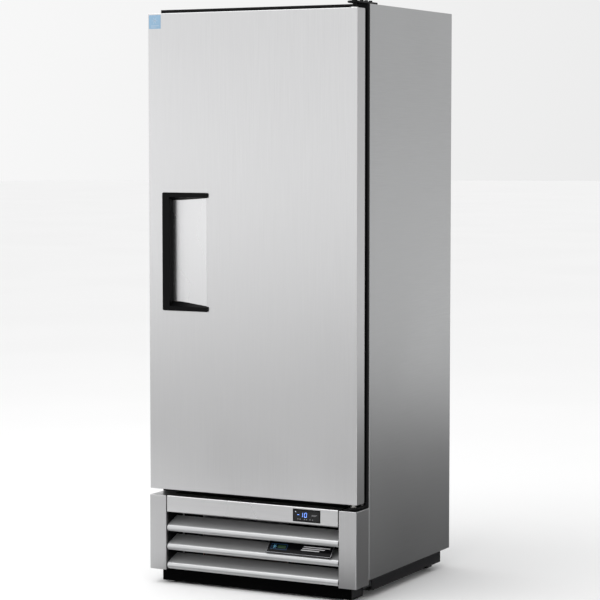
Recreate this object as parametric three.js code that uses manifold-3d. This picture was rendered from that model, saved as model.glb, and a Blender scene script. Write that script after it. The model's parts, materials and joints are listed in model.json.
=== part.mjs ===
// Reach-in refrigerator with one solid door and a condensing unit in its base.
// Millimetres, +Z up. The door faces -Y and its hinge is on the +X side. The origin is on the
// floor, under the middle of the object.
import * as THREE from 'three';
import { ConvexGeometry } from 'three/addons/geometries/ConvexGeometry.js';
import { mergeVertices } from 'three/addons/utils/BufferGeometryUtils.js';
import Module from 'manifold-3d';

const wasm = await Module();
wasm.setup();

// ---- Driving dimensions -------------------------------------------------------------------
// Heights are from the floor. Depths (y) are from the door's front face, towards the back.
const WIDTH = 632;
const DEPTH = 600;
const HALF = WIDTH / 2;
const SHEET = 1.2; // outer sheet metal
const GAP = 0.3; // left between pieces that touch

const DATUM = 29; // level that the heights of the body, grille and door are counted from
const RAIL_BOTTOM = DATUM - 9;
const BODY_BOTTOM = DATUM + 22.5; // bottom edge of the side panels, on top of the base rails
const CABINET_TOP = DATUM + 1540;
const BOX_BOTTOM = DATUM + 217; // underside of the insulated box
const CABINET_FRONT = 74; // front edge of the side panels
const BREAKER_FRONT = 64; // face that the door seals against

const WALL = 45; // insulated wall
const INNER_HALF = HALF - WALL - 1; // half width of the cabin
const INNER_BACK = DEPTH - 50;
const INNER_FLOOR = BOX_BOTTOM + 50;
const INNER_CEILING = CABINET_TOP - 50;
const LINER = 1;
const MOUTH_HALF = 262; // half width of the cabin's mouth between the breaker strips
const MOUTH_TOP = INNER_CEILING - 4;

const DOOR_BOTTOM = DATUM + 233;
const DOOR_TOP = DATUM + 1527;
const DOOR_SKIN_DEPTH = 43;
const GASKET_BACK = 58;
const SEAL_FACE = BREAKER_FRONT - GAP;
const SEAL_INSET = 19; // outer edge of the seal's bulb, in from the door's edge
const PLUG_HALF = 250; // raised middle of the door's inner face
const PLUG_BACK = 75;
const PLUG_BOTTOM = INNER_FLOOR + 14;
const PLUG_TOP = MOUTH_TOP - 14;

const HINGE_X = 297;
const HINGE_Y = 20;
const PIN_RADIUS = 5;
const PIN_TOP = CABINET_TOP + 12;
const HINGE_PLATE = 5;

const HANDLE_LEFT = -271.5;
const HANDLE_RIGHT = -130;
const HANDLE_BOTTOM = DATUM + 724.5;
const HANDLE_TOP = DATUM + 1045;
const HANDLE_PROUD = 4;
const BAR_WIDTH = 22;
const ARM_FACE = 12; // front face of each arm
const ARM_LEAN = { bottom: 0.6, top: 0.405 }; // slope of the pocket's lower and upper walls
const POCKET_DEPTH = 16;
const POCKET_RIGHT = -134;

const POST_INNER = 264;
const POST_FRONT = -3;
const POST_BACK = 73;
const POST_BOTTOM = DATUM + 10.7;
const POST_TOP = BOX_BOTTOM - 1;
const GRILLE_HALF = 261.5;
const HEADER_FRONT = -2;
const HEADER_BACK = 40;
const HEADER_BOTTOM = DATUM + 171;
const LOUVER_PITCH = 52;
const LOUVER_TOP = DATUM + 137.3; // nose of the highest louver
const LOUVER_NOSE = 10; // nose radius
const LOUVER_SLOPE = THREE.MathUtils.degToRad(21);
const LOUVER_BACK = 51;

const RAIL_INNER = 290;
const RAIL_BACK = 538;
const RAIL_SHEET = 2;
const CROSSMEMBER_BOTTOM = 5;
const CROSSMEMBERS = { front: [22, 92], rear: [RAIL_BACK - 38, RAIL_BACK] };
const RAIL_FRONT = CROSSMEMBERS.front[1] + GAP;
const FOOT_X = 266;
const FOOT_INSET = 19; // from a crossmember's outer face to the middle of its feet

const SHELF_HEIGHTS = { lower: 560, middle: 850, upper: 1140 };
const SHELF_HALF = 260;
const SHELF_FRONT = 96;
const SHELF_BACK = 534;
const SHELF_ROD = 6;
const SHELF_WIRE = 4;
const SHELF_WIRES = 19;

const EVAPORATOR_FAN = { x: 0, y: 404, z: 1450, radius: 66, depth: 18, blades: 5 };
const CONDENSER_FAN = { x: -70, y: 182, z: 144, radius: 68, depth: 20, blades: 5 };
const FAN_SHAFT = 3;

// ---- Finishes ------------------------------------------------------------------------------
const FINISHES = {
  stainless: { color: 0xc6c7c8, roughness: 0.34, metalness: 0.9 },
  aluminium: { color: 0xa2a4a6, roughness: 0.42, metalness: 0.85 },
  galvanised: { color: 0x9a9da0, roughness: 0.5, metalness: 0.8 },
  liner: { color: 0xd9dbdc, roughness: 0.4, metalness: 0.7 },
  blackPlastic: { color: 0x17181a, roughness: 0.5, metalness: 0 },
  blackPaint: { color: 0x1c1d1f, roughness: 0.45, metalness: 0.3 },
  glossBlack: { color: 0x0a0b0d, roughness: 0.12, metalness: 0 },
  rubber: { color: 0x2a2b2d, roughness: 0.75, metalness: 0 },
  foam: { color: 0xd8c48c, roughness: 0.95, metalness: 0 },
  shelfCoat: { color: 0xe4e6e6, roughness: 0.45, metalness: 0.1 },
  lens: { color: 0xf2f5f6, roughness: 0.35, metalness: 0 },
  zinc: { color: 0x8d9195, roughness: 0.35, metalness: 0.9 },
  whitePlastic: { color: 0xe6e7e5, roughness: 0.5, metalness: 0 },
};

// ---- Shape helpers -------------------------------------------------------------------------
// A box from its low and high x, y and z.
function block([x0, x1], [y0, y1], [z0, z1]) {
  const geometry = new THREE.BoxGeometry(x1 - x0, y1 - y0, z1 - z0);
  return geometry.translate((x0 + x1) / 2, (y0 + y1) / 2, (z0 + z1) / 2);
}

// A box that is the same on both sides of the middle.
function wideBlock(half, y, z) {
  return block([-half, half], y, z);
}

// An outline in x and y, raised from z0 to z1.
function upright(points, [z0, z1]) {
  const outline = new THREE.Shape(points.map(([x, y]) => new THREE.Vector2(x, y)));
  const geometry = new THREE.ExtrudeGeometry(outline, { depth: z1 - z0, bevelEnabled: false });
  return geometry.translate(0, 0, z0);
}

// An outline in x and z, run back from y0 to y1.
function frontal(points, [y0, y1]) {
  const outline = new THREE.Shape(points.map(([x, z]) => new THREE.Vector2(x, z)));
  const geometry = new THREE.ExtrudeGeometry(outline, { depth: y1 - y0, bevelEnabled: false });
  return geometry.rotateX(Math.PI / 2).translate(0, y1, 0);
}

// An outline in y and z, run across from x0 to x1.
function sideways(points, [x0, x1]) {
  const outline = new THREE.Shape(points.map(([y, z]) => new THREE.Vector2(y, z)));
  const geometry = new THREE.ExtrudeGeometry(outline, { depth: x1 - x0, bevelEnabled: false });
  return geometry.rotateX(Math.PI / 2).rotateZ(Math.PI / 2).translate(x0, 0, 0);
}

// A cylinder along Z between two heights.
function rod(x, y, [z0, z1], radius, sides = 16) {
  const geometry = new THREE.CylinderGeometry(radius, radius, z1 - z0, sides);
  return geometry.rotateX(Math.PI / 2).translate(x, y, (z0 + z1) / 2);
}

// A cylinder along Y between two depths.
function bar(x, z, [y0, y1], radius, sides = 16) {
  const geometry = new THREE.CylinderGeometry(radius, radius, y1 - y0, sides);
  return geometry.translate(x, (y0 + y1) / 2, z);
}

// A turned shape about a vertical axis, from radius and height pairs that start and end on it.
function turned(points, sides = 16) {
  const profile = points.map(([r, z]) => new THREE.Vector2(r, z));
  return new THREE.LatheGeometry(profile, sides).rotateX(Math.PI / 2);
}

function solid(geometry) {
  const bare = geometry.clone();
  bare.deleteAttribute('normal');
  bare.deleteAttribute('uv');
  const merged = mergeVertices(bare);
  return new wasm.Manifold(new wasm.Mesh({
    numProp: 3,
    vertProperties: merged.attributes.position.array,
    triVerts: new Uint32Array(merged.index.array),
  }));
}

function surface(manifold) {
  const { vertProperties, triVerts } = manifold.getMesh();
  const indexed = new THREE.BufferGeometry();
  indexed.setAttribute('position', new THREE.BufferAttribute(vertProperties, 3));
  indexed.setIndex(new THREE.BufferAttribute(triVerts, 1));
  const geometry = indexed.toNonIndexed();
  geometry.computeVertexNormals();
  return geometry;
}

function join(...pieces) {
  return surface(pieces.map(solid).reduce((whole, piece) => whole.add(piece)));
}

function cut(piece, ...tools) {
  return surface(tools.map(solid).reduce((rest, tool) => rest.subtract(tool), solid(piece)));
}

function common(piece, other) {
  return surface(solid(piece).intersect(solid(other)));
}

function group(parent, x = 0, y = 0, z = 0) {
  const child = new THREE.Group();
  child.position.set(x, y, z);
  parent.add(child);
  return child;
}

function part(parent, name, geometry, finish) {
  const mesh = new THREE.Mesh(geometry, new THREE.MeshStandardMaterial(FINISHES[finish]));
  mesh.name = name;
  parent.add(mesh);
  return mesh;
}

// The row's y = 0 is the middle of the object, and the handle is what reaches furthest forward.
const refrigerator = new THREE.Group();
const object = group(refrigerator, 0, -(DEPTH - HANDLE_PROUD) / 2, 0);

// ---- Cabinet shell -------------------------------------------------------------------------
const cabinet = group(object);
const skinInner = HALF - SHEET - GAP; // what lies inside the side panels
const foamBack = DEPTH - SHEET - GAP;
const foamFront = CABINET_FRONT + SHEET + GAP;
const HEM = 14;

// Flat sheet with a front edge folded inwards; side is -1 on the left and +1 on the right.
function sidePanel(side) {
  const xs = (near, far) => [side * near, side * far].sort((a, b) => a - b);
  const heights = [BODY_BOTTOM, CABINET_TOP];
  const wall = block(xs(HALF - SHEET, HALF), [CABINET_FRONT, DEPTH], heights);
  const hem = block(
    xs(HALF - HEM, HALF - SHEET / 2), [CABINET_FRONT, CABINET_FRONT + SHEET], [BOX_BOTTOM, CABINET_TOP]);
  return join(wall, hem);
}
part(cabinet, 'side_panel_left', sidePanel(-1), 'aluminium');
part(cabinet, 'side_panel_right', sidePanel(1), 'aluminium');

part(cabinet, 'top_panel', wideBlock(
  skinInner, [foamFront, foamBack], [CABINET_TOP - SHEET, CABINET_TOP]), 'aluminium');
part(cabinet, 'back_panel', wideBlock(
  skinInner, [DEPTH - SHEET, DEPTH], [BOX_BOTTOM, CABINET_TOP]), 'galvanised');
part(cabinet, 'deck_plate', wideBlock(
  skinInner, [foamFront, foamBack], [BOX_BOTTOM, BOX_BOTTOM + SHEET]), 'galvanised');

// Insulation, foamed between the skins and the liner, open at the cabin's mouth.
const linerOuter = INNER_HALF + LINER;
part(cabinet, 'cabinet_foam', cut(
  wideBlock(skinInner, [foamFront, foamBack], [BOX_BOTTOM + SHEET + GAP, CABINET_TOP - SHEET - GAP]),
  wideBlock(
    linerOuter + GAP,
    [0, INNER_BACK + LINER + GAP],
    [INNER_FLOOR - LINER - GAP, INNER_CEILING + LINER + GAP])), 'foam');

part(cabinet, 'interior_liner', cut(
  wideBlock(
    linerOuter, [CABINET_FRONT + GAP, INNER_BACK + LINER], [INNER_FLOOR - LINER, INNER_CEILING + LINER]),
  wideBlock(INNER_HALF, [0, INNER_BACK], [INNER_FLOOR, INNER_CEILING])), 'liner');

// Stainless floor pan with an upturned edge at the sides and back.
const panTop = INNER_FLOOR + 16;
part(cabinet, 'floor_pan', cut(
  wideBlock(INNER_HALF - GAP, [CABINET_FRONT + 2, INNER_BACK - GAP], [INNER_FLOOR + GAP, panTop]),
  wideBlock(
    INNER_HALF - GAP - LINER, [0, INNER_BACK - GAP - LINER], [INNER_FLOOR + GAP + LINER, panTop + 1])),
'stainless');

// Breaker strips: the plastic frame round the mouth, between the outer skin and the liner.
const breakerDepth = [BREAKER_FRONT, CABINET_FRONT - GAP];
const BREAKER_OUTER = HALF - 0.5;
for (const [name, xs] of [
  ['left', [-BREAKER_OUTER, -MOUTH_HALF]], ['right', [MOUTH_HALF, BREAKER_OUTER]]]) {
  part(cabinet, `breaker_strip_${name}`, block(xs, breakerDepth, [BOX_BOTTOM, CABINET_TOP]), 'blackPlastic');
}
for (const [name, heights] of [
  ['top', [MOUTH_TOP, CABINET_TOP]], ['bottom', [BOX_BOTTOM, INNER_FLOOR]]]) {
  part(cabinet, `breaker_strip_${name}`, wideBlock(MOUTH_HALF - GAP, breakerDepth, heights), 'blackPlastic');
}

// Rear guard: a slotted sheet over the machine compartment, below the back panel.
const GUARD_SLOTS = 8;
const SLOT_PITCH = 17;
const SLOT_HEIGHT = 5;
const slots = [];
for (let i = 0; i < GUARD_SLOTS; i += 1) {
  const z = BODY_BOTTOM + 32 + i * SLOT_PITCH;
  slots.push(block([-250, -20], [0, DEPTH + 1], [z, z + SLOT_HEIGHT]));
}
const INLET = { x: 220, z: 120, radius: 11 };
part(cabinet, 'rear_guard', cut(
  wideBlock(skinInner, [DEPTH - 6 - SHEET, DEPTH - 6], [BODY_BOTTOM + 3, BOX_BOTTOM - GAP]),
  ...slots,
  bar(INLET.x, INLET.z, [DEPTH - 20, DEPTH], INLET.radius)), 'galvanised');

// Power cord inlet: a bushing with a through hole, snapped into the rear guard.
part(cabinet, 'cord_inlet', cut(
  bar(INLET.x, INLET.z, [DEPTH - 18, DEPTH - 0.5], INLET.radius - GAP),
  bar(INLET.x, INLET.z, [DEPTH - 30, DEPTH + 5], 5)), 'blackPlastic');

// ---- Base frame ----------------------------------------------------------------------------
const base = group(cabinet);

// Channel rail behind the front crossmember, with its web outside, notched in its foot.
const NOTCHES = [[92, 104], [430, 456]];
function baseRail(side) {
  const xs = (near, far) => [side * near, side * far].sort((a, b) => a - b);
  const heights = [RAIL_BOTTOM, BODY_BOTTOM - GAP];
  return cut(
    block(xs(RAIL_INNER, HALF), [RAIL_FRONT, RAIL_BACK], heights),
    block(
      xs(RAIL_INNER - 1, HALF - RAIL_SHEET),
      [0, DEPTH],
      [RAIL_BOTTOM + RAIL_SHEET, BODY_BOTTOM - RAIL_SHEET]),
    ...NOTCHES.map((depths) => block(xs(HALF - 8, HALF + 1), depths, [0, RAIL_BOTTOM + 4])));
}
part(base, 'base_rail_left', baseRail(-1), 'blackPaint');
part(base, 'base_rail_right', baseRail(1), 'blackPaint');

// Channel between the rails, open upwards, with a hole for each levelling foot.
const FOOT_HOLE = 5.4;
function crossmember([front, back], footY) {
  const top = POST_BOTTOM - GAP;
  return cut(
    wideBlock(RAIL_INNER - GAP, [front, back], [CROSSMEMBER_BOTTOM, top]),
    wideBlock(
      RAIL_INNER, [front + RAIL_SHEET, back - RAIL_SHEET], [CROSSMEMBER_BOTTOM + RAIL_SHEET, top + 1]),
    rod(-FOOT_X, footY, [0, DATUM], FOOT_HOLE),
    rod(FOOT_X, footY, [0, DATUM], FOOT_HOLE));
}

// Levelling feet: a low round pad on a stud, screwed almost all the way in.
const footProfile = [[0, 0], [10.5, 0], [12, 1.2], [12, 4.4], [4.8, 4.4], [4.8, 38], [0, 38]];
for (const [end, depths] of Object.entries(CROSSMEMBERS)) {
  const footY = end === 'front' ? depths[0] + FOOT_INSET : depths[1] - FOOT_INSET;
  part(base, `crossmember_${end}`, crossmember(depths, footY), 'blackPaint');
  for (const [hand, side] of [['left', -1], ['right', 1]]) {
    const foot = group(base, side * FOOT_X, footY, 0);
    part(foot, `foot_${end}_${hand}`, turned(footProfile), 'zinc');
  }
}

// ---- Grille --------------------------------------------------------------------------------
const grille = group(cabinet);

// Folded post with a closed top, open at its back and bottom.
function grillePost(side) {
  const xs = (near, far) => [side * near, side * far].sort((a, b) => a - b);
  return cut(
    block(xs(POST_INNER, HALF), [POST_FRONT, POST_BACK], [POST_BOTTOM, POST_TOP]),
    block(
      xs(POST_INNER + SHEET, HALF - SHEET), [POST_FRONT + SHEET, DEPTH], [0, POST_TOP - SHEET]));
}
part(grille, 'grille_post_left', grillePost(-1), 'stainless');
part(grille, 'grille_post_right', grillePost(1), 'stainless');

// Header with a window for the controller.
const CONTROLLER = { x: [128, 210], z: [DATUM + 177.5, DATUM + 212] };
part(grille, 'grille_header', cut(
  wideBlock(GRILLE_HALF, [HEADER_FRONT, HEADER_BACK], [HEADER_BOTTOM, BOX_BOTTOM]),
  wideBlock(GRILLE_HALF - SHEET, [HEADER_FRONT + SHEET, DEPTH], [HEADER_BOTTOM + SHEET, BOX_BOTTOM - SHEET]),
  block(CONTROLLER.x, [HEADER_FRONT - 1, 0], CONTROLLER.z)), 'stainless');

const shrink = ([low, high], by) => [low + by, high - by];
const controllerFace = HEADER_FRONT - 0.6;
const CONTROLLER_RIM = 3;
part(grille, 'controller_body', cut(
  block(shrink(CONTROLLER.x, GAP), [controllerFace, 26], shrink(CONTROLLER.z, GAP)),
  block(
    shrink(CONTROLLER.x, CONTROLLER_RIM),
    [controllerFace - 1, controllerFace + 2],
    shrink(CONTROLLER.z, CONTROLLER_RIM))),
'blackPlastic');
const windowEdge = CONTROLLER_RIM + GAP;
part(grille, 'controller_window', block(
  shrink(CONTROLLER.x, windowEdge),
  [controllerFace + 0.2, controllerFace + 2 - GAP],
  shrink(CONTROLLER.z, windowEdge)), 'glossBlack');

// Louver: a rounded nose whose top runs back and upwards, bent from one sheet.
function louver(top) {
  const NOSE_STEPS = 10;
  const centre = { y: HEADER_FRONT + LOUVER_NOSE, z: top - LOUVER_NOSE };
  const start = -Math.PI / 2;
  const end = -Math.PI * 1.5 + LOUVER_SLOPE;
  const arc = (radius) => Array.from({ length: NOSE_STEPS + 1 }, (_, i) => {
    const angle = start + (end - start) * i / NOSE_STEPS;
    return [centre.y + radius * Math.cos(angle), centre.z + radius * Math.sin(angle)];
  });
  const tail = ([y, z]) => [LOUVER_BACK, z + (LOUVER_BACK - y) * Math.tan(LOUVER_SLOPE)];
  const outer = arc(LOUVER_NOSE);
  const inner = arc(LOUVER_NOSE - SHEET);
  const path = [...outer, tail(outer.at(-1)), tail(inner.at(-1)), ...inner.reverse()];
  return sideways(path, [-GRILLE_HALF, GRILLE_HALF]);
}
['top', 'middle', 'bottom'].forEach((name, i) => {
  part(grille, `louver_${name}`, louver(LOUVER_TOP - i * LOUVER_PITCH), 'stainless');
});

// Nameplate: a blank badge that leans back over the middle louver's nose. Its rise is from the
// top of that nose to the badge's middle.
const PLATE = {
  x: [44, 240], y: 13, rise: 16.7, length: 40, thickness: 1.6, tilt: THREE.MathUtils.degToRad(48) };
const badge = part(grille, 'nameplate', new THREE.BoxGeometry(
  PLATE.x[1] - PLATE.x[0], PLATE.length, PLATE.thickness), 'glossBlack');
badge.rotation.x = PLATE.tilt;
badge.position.set((PLATE.x[0] + PLATE.x[1]) / 2, PLATE.y, LOUVER_TOP - LOUVER_PITCH + PLATE.rise);

// ---- Hinges --------------------------------------------------------------------------------
const hinges = group(cabinet);

// Top bracket: a plate on the cabinet's top with the pin that the door hangs from.
part(hinges, 'top_hinge_bracket', join(
  upright(
    [[281, 12], [289, 5], [305, 5], [312, 12], [312, 124], [304, 132], [282, 132], [276, 124], [276, 24]],
    [CABINET_TOP + GAP, CABINET_TOP + GAP + HINGE_PLATE]),
  rod(HINGE_X, HINGE_Y, [DOOR_TOP - 22, PIN_TOP], PIN_RADIUS)), 'blackPaint');

// Bottom bracket: a plate in the gap under the door, with a pin that goes up into it.
part(hinges, 'bottom_hinge_bracket', join(
  upright(
    [[284, 10], [290, 5], [304, 5], [310, 10], [313, 60], [313, SEAL_FACE], [268, SEAL_FACE], [268, 50]],
    [BOX_BOTTOM + 3, BOX_BOTTOM + 3 + HINGE_PLATE]),
  block([268, 313], [SEAL_FACE - 4, SEAL_FACE], [BOX_BOTTOM + 3, BOX_BOTTOM + 15]),
  rod(HINGE_X, HINGE_Y, [BOX_BOTTOM + 3, DOOR_BOTTOM + 34], PIN_RADIUS)), 'blackPaint');

// ---- Door ----------------------------------------------------------------------------------
// The door's group stands on the hinge axis; everything in it is given in the cabinet's frame.
const doorPivot = group(object, HINGE_X, HINGE_Y, 0);
const door = group(doorPivot, -HINGE_X, -HINGE_Y, 0);
const CLOSER_RADIUS = 9;

const handleHole = [
  [HANDLE_LEFT - GAP, POCKET_RIGHT], [-1, POCKET_DEPTH + 2 * SHEET], [HANDLE_BOTTOM - GAP, HANDLE_TOP + GAP]];
part(door, 'door_skin', cut(
  wideBlock(HALF, [0, DOOR_SKIN_DEPTH], [DOOR_BOTTOM, DOOR_TOP]),
  wideBlock(HALF - SHEET, [SHEET, DEPTH], [DOOR_BOTTOM + SHEET, DOOR_TOP - SHEET]),
  block(...handleHole),
  rod(HINGE_X, HINGE_Y, [DOOR_BOTTOM - 5, DOOR_BOTTOM + 5], CLOSER_RADIUS + GAP),
  rod(HINGE_X, HINGE_Y, [DOOR_TOP - 5, DOOR_TOP + 5], PIN_RADIUS + 1)), 'stainless');

// Inner face: a flat rim that carries the seal, and a raised middle that enters the mouth.
const rimFront = DOOR_SKIN_DEPTH - 1.8;
const rimHeights = [DOOR_BOTTOM + SHEET + GAP, DOOR_TOP - SHEET - GAP];
const PLUG_WALL = 1.5;
part(door, 'door_liner', cut(
  join(
    wideBlock(skinInner, [rimFront, rimFront + PLUG_WALL], rimHeights),
    wideBlock(PLUG_HALF, [rimFront, PLUG_BACK], [PLUG_BOTTOM, PLUG_TOP])),
  wideBlock(
    PLUG_HALF - PLUG_WALL, [0, PLUG_BACK - PLUG_WALL], [PLUG_BOTTOM + PLUG_WALL, PLUG_TOP - PLUG_WALL])),
'liner');

const foamInset = PLUG_WALL + GAP;
part(door, 'door_foam', cut(
  join(
    wideBlock(skinInner, [SHEET + GAP, rimFront - GAP], rimHeights),
    wideBlock(PLUG_HALF - foamInset, [SHEET + GAP, PLUG_BACK - foamInset], [
      PLUG_BOTTOM + foamInset, PLUG_TOP - foamInset])),
  block(
    [HANDLE_LEFT - 2, POCKET_RIGHT + 2],
    [0, POCKET_DEPTH + 2 * SHEET + 1],
    [HANDLE_BOTTOM - 2, HANDLE_TOP + 2]),
  rod(HINGE_X, HINGE_Y, [0, DOOR_BOTTOM + 121], CLOSER_RADIUS + GAP),
  rod(HINGE_X, HINGE_Y, [DOOR_TOP - 28, DOOR_TOP + 5], PIN_RADIUS + 1)), 'foam');

// Self-closing cartridge round the bottom pin.
part(door, 'door_closer', cut(
  rod(HINGE_X, HINGE_Y, [DOOR_BOTTOM + 0.5, DOOR_BOTTOM + 120], CLOSER_RADIUS),
  rod(HINGE_X, HINGE_Y, [0, DOOR_BOTTOM + 40], PIN_RADIUS + 0.5)), 'zinc');

// Magnetic seal: a flat base ring with a narrower bulb that meets the breaker strips.
function ring(outerInset, innerInset, depths) {
  const outer = wideBlock(HALF - outerInset, depths, [DOOR_BOTTOM + outerInset, DOOR_TOP - outerInset]);
  const inner = wideBlock(HALF - innerInset, [0, DEPTH], [DOOR_BOTTOM + innerInset, DOOR_TOP - innerInset]);
  return cut(outer, inner);
}
part(door, 'door_gasket', join(
  ring(4, SEAL_INSET + 14, [DOOR_SKIN_DEPTH + GAP, GASKET_BACK]),
  ring(SEAL_INSET, SEAL_INSET + 13, [GASKET_BACK - 1, SEAL_FACE])), 'rubber');

// Handle: a C-shaped frame with its bar at the door's free edge. Its arms' inner walls lean
// inwards and get shallower towards their tips, which lie on the door's face.
const barRight = HANDLE_LEFT + BAR_WIDTH;
const CORNER = 4;

function pocketHeights(y) {
  const depth = y + HANDLE_PROUD;
  return [HANDLE_BOTTOM + ARM_FACE + depth * ARM_LEAN.bottom, HANDLE_TOP - ARM_FACE - depth * ARM_LEAN.top];
}

// The corners of an upright line at the pocket's heights, for a hull through several lines.
function pocketLine(x, y, inset = 0) {
  const [low, high] = pocketHeights(y);
  return [new THREE.Vector3(x, y, low + inset), new THREE.Vector3(x, y, high - inset)];
}

const handleOutline = [
  [HANDLE_LEFT, HANDLE_BOTTOM + CORNER], [HANDLE_LEFT + CORNER, HANDLE_BOTTOM],
  [HANDLE_RIGHT - CORNER, HANDLE_BOTTOM], [HANDLE_RIGHT, HANDLE_BOTTOM + CORNER],
  [HANDLE_RIGHT, HANDLE_TOP - CORNER], [HANDLE_RIGHT - CORNER, HANDLE_TOP],
  [HANDLE_LEFT + CORNER, HANDLE_TOP], [HANDLE_LEFT, HANDLE_TOP - CORNER]];
const handleBack = POCKET_DEPTH + SHEET;
const handlePlan = [
  [HANDLE_LEFT, -HANDLE_PROUD], [HANDLE_RIGHT, -HANDLE_PROUD], [HANDLE_RIGHT, -GAP],
  [POCKET_RIGHT - GAP, -GAP], [POCKET_RIGHT - GAP, 2], [barRight, handleBack], [HANDLE_LEFT, handleBack]];
const pocketSpace = new ConvexGeometry([
  ...pocketLine(barRight, -HANDLE_PROUD - 2), ...pocketLine(0, -HANDLE_PROUD - 2),
  ...pocketLine(barRight, POCKET_DEPTH + 4), ...pocketLine(0, POCKET_DEPTH + 4)]);
part(door, 'door_handle', cut(
  common(
    frontal(handleOutline, [-HANDLE_PROUD, POCKET_DEPTH + 4]),
    upright(handlePlan, [HANDLE_BOTTOM - 1, HANDLE_TOP + 1])),
  pocketSpace), 'blackPlastic');

// Finger pocket: a sloping plate between the arms.
function pocketEdge(x, y) {
  const [low, high] = pocketLine(x, y + SHEET, GAP);
  return [low, high, low.clone().setY(y), high.clone().setY(y)];
}
part(door, 'handle_pocket', new ConvexGeometry([
  ...pocketEdge(POCKET_RIGHT - GAP, 0), ...pocketEdge(barRight + GAP, POCKET_DEPTH)]), 'stainless');

// ---- Cabin fittings ------------------------------------------------------------------------
const cabin = group(cabinet);
const PILASTER = { width: 18, depth: 7, bottom: INNER_FLOOR + 60, top: 1350 };
for (const [end, y] of [['front', 140], ['rear', 470]]) {
  for (const [hand, side] of [['left', -1], ['right', 1]]) {
    const inner = INNER_HALF - GAP;
    const xs = [side * inner, side * (inner - PILASTER.depth)].sort((a, b) => a - b);
    part(cabin, `pilaster_${end}_${hand}`, block(
      xs, [y - PILASTER.width / 2, y + PILASTER.width / 2], [PILASTER.bottom, PILASTER.top]), 'liner');
  }
}

// Wire shelves: a rod frame with a middle brace, and wires that run from front to back.
function wireShelf() {
  const top = [-SHELF_WIRE - SHELF_ROD + 1, -SHELF_WIRE + 1];
  const rods = [SHELF_FRONT, (SHELF_FRONT + SHELF_BACK - SHELF_ROD) / 2, SHELF_BACK - SHELF_ROD].map(
    (y) => wideBlock(SHELF_HALF, [y, y + SHELF_ROD], top));
  const sides = [-SHELF_HALF, SHELF_HALF - SHELF_ROD].map(
    (x) => block([x, x + SHELF_ROD], [SHELF_FRONT, SHELF_BACK], top));
  const pitch = 2 * SHELF_HALF / (SHELF_WIRES + 1);
  const wires = Array.from({ length: SHELF_WIRES }, (_, i) => {
    const left = -SHELF_HALF + (i + 1) * pitch - SHELF_WIRE / 2;
    return block([left, left + SHELF_WIRE], [SHELF_FRONT + 1, SHELF_BACK - 1], [-SHELF_WIRE, 0]);
  });
  return join(...rods, ...sides, ...wires);
}
for (const [name, height] of Object.entries(SHELF_HEIGHTS)) {
  part(group(object, 0, 0, height), `shelf_${name}`, wireShelf(), 'shelfCoat');
}

// Ceiling lamp near the mouth.
const lampDepth = [104, 144];
part(cabin, 'lamp_housing', cut(
  wideBlock(170, lampDepth, [INNER_CEILING - 16, INNER_CEILING - GAP]),
  wideBlock(167, shrink(lampDepth, 3), [0, INNER_CEILING - 4])), 'whitePlastic');
part(cabin, 'lamp_lens', wideBlock(
  167 - GAP, shrink(lampDepth, 3 + GAP), [INNER_CEILING - 18, INNER_CEILING - 8]), 'lens');

// ---- Evaporator, under the ceiling at the back ---------------------------------------------
const evaporator = group(cabinet);
const COVER = { half: 248, front: 392, back: 520, bottom: 1376 };
const coverTop = INNER_CEILING - GAP;
part(evaporator, 'evaporator_cover', cut(
  wideBlock(COVER.half, [COVER.front, COVER.back], [COVER.bottom, coverTop]),
  wideBlock(
    COVER.half - LINER, [COVER.front + LINER, DEPTH], [COVER.bottom + LINER, coverTop - LINER]),
  bar(EVAPORATOR_FAN.x, EVAPORATOR_FAN.z, [300, 460], EVAPORATOR_FAN.radius + 5, 24)), 'aluminium');
part(evaporator, 'evaporator_coil', join(
  wideBlock(225, [474, 512], [COVER.bottom + 14, coverTop - 14]),
  wideBlock(240, [478, 488], [COVER.bottom + 30, COVER.bottom + 40]),
  wideBlock(240, [498, 508], [COVER.bottom + 80, COVER.bottom + 90])), 'aluminium');

// A fan: hub with a bore for the shaft and twisted blades, about an axis along Y.
function fan({ radius, depth, blades }) {
  const hub = cut(bar(0, 0, [0, depth], 16), bar(0, 0, [-1, depth + 1], FAN_SHAFT + GAP));
  const vanes = Array.from({ length: blades }, (_, i) => {
    const blade = new THREE.BoxGeometry(radius - 13, 1.6, 38);
    blade.rotateX(THREE.MathUtils.degToRad(24)).translate((radius + 13) / 2, depth / 2, 0);
    return blade.rotateY(2 * Math.PI * i / blades);
  });
  return join(hub, ...vanes);
}

// A motor behind its fan, with its shaft through the hub and a foot on what carries it.
function fanMotor({ x, y, z, depth }, length, foot) {
  return join(
    bar(x, z, [y + depth + 4, y + depth + 4 + length], 24),
    bar(x, z, [y - 2, y + depth + 5], FAN_SHAFT, 12),
    block([x - 10, x + 10], [y + depth + 12, y + depth + length - 4], foot));
}
for (const [name, place] of [['evaporator_fan', EVAPORATOR_FAN], ['condenser_fan', CONDENSER_FAN]]) {
  part(group(object, place.x, place.y, place.z), name, fan(place), 'blackPlastic');
}
part(evaporator, 'evaporator_motor', fanMotor(
  EVAPORATOR_FAN, 40, [EVAPORATOR_FAN.z, coverTop - LINER - GAP]), 'blackPaint');

// ---- Condensing unit, in the base ----------------------------------------------------------
const unit = group(cabinet);
const trayTop = BODY_BOTTOM + 2;
const TRAY_EDGE = 12;
const TRAY_HALF = 304; // wide enough to stand on both rails
part(unit, 'unit_base', cut(
  wideBlock(TRAY_HALF, [84, 560], [BODY_BOTTOM, trayTop + TRAY_EDGE]),
  wideBlock(TRAY_HALF - 2, [0, DEPTH], [trayTop, DEPTH])), 'galvanised');

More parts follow.
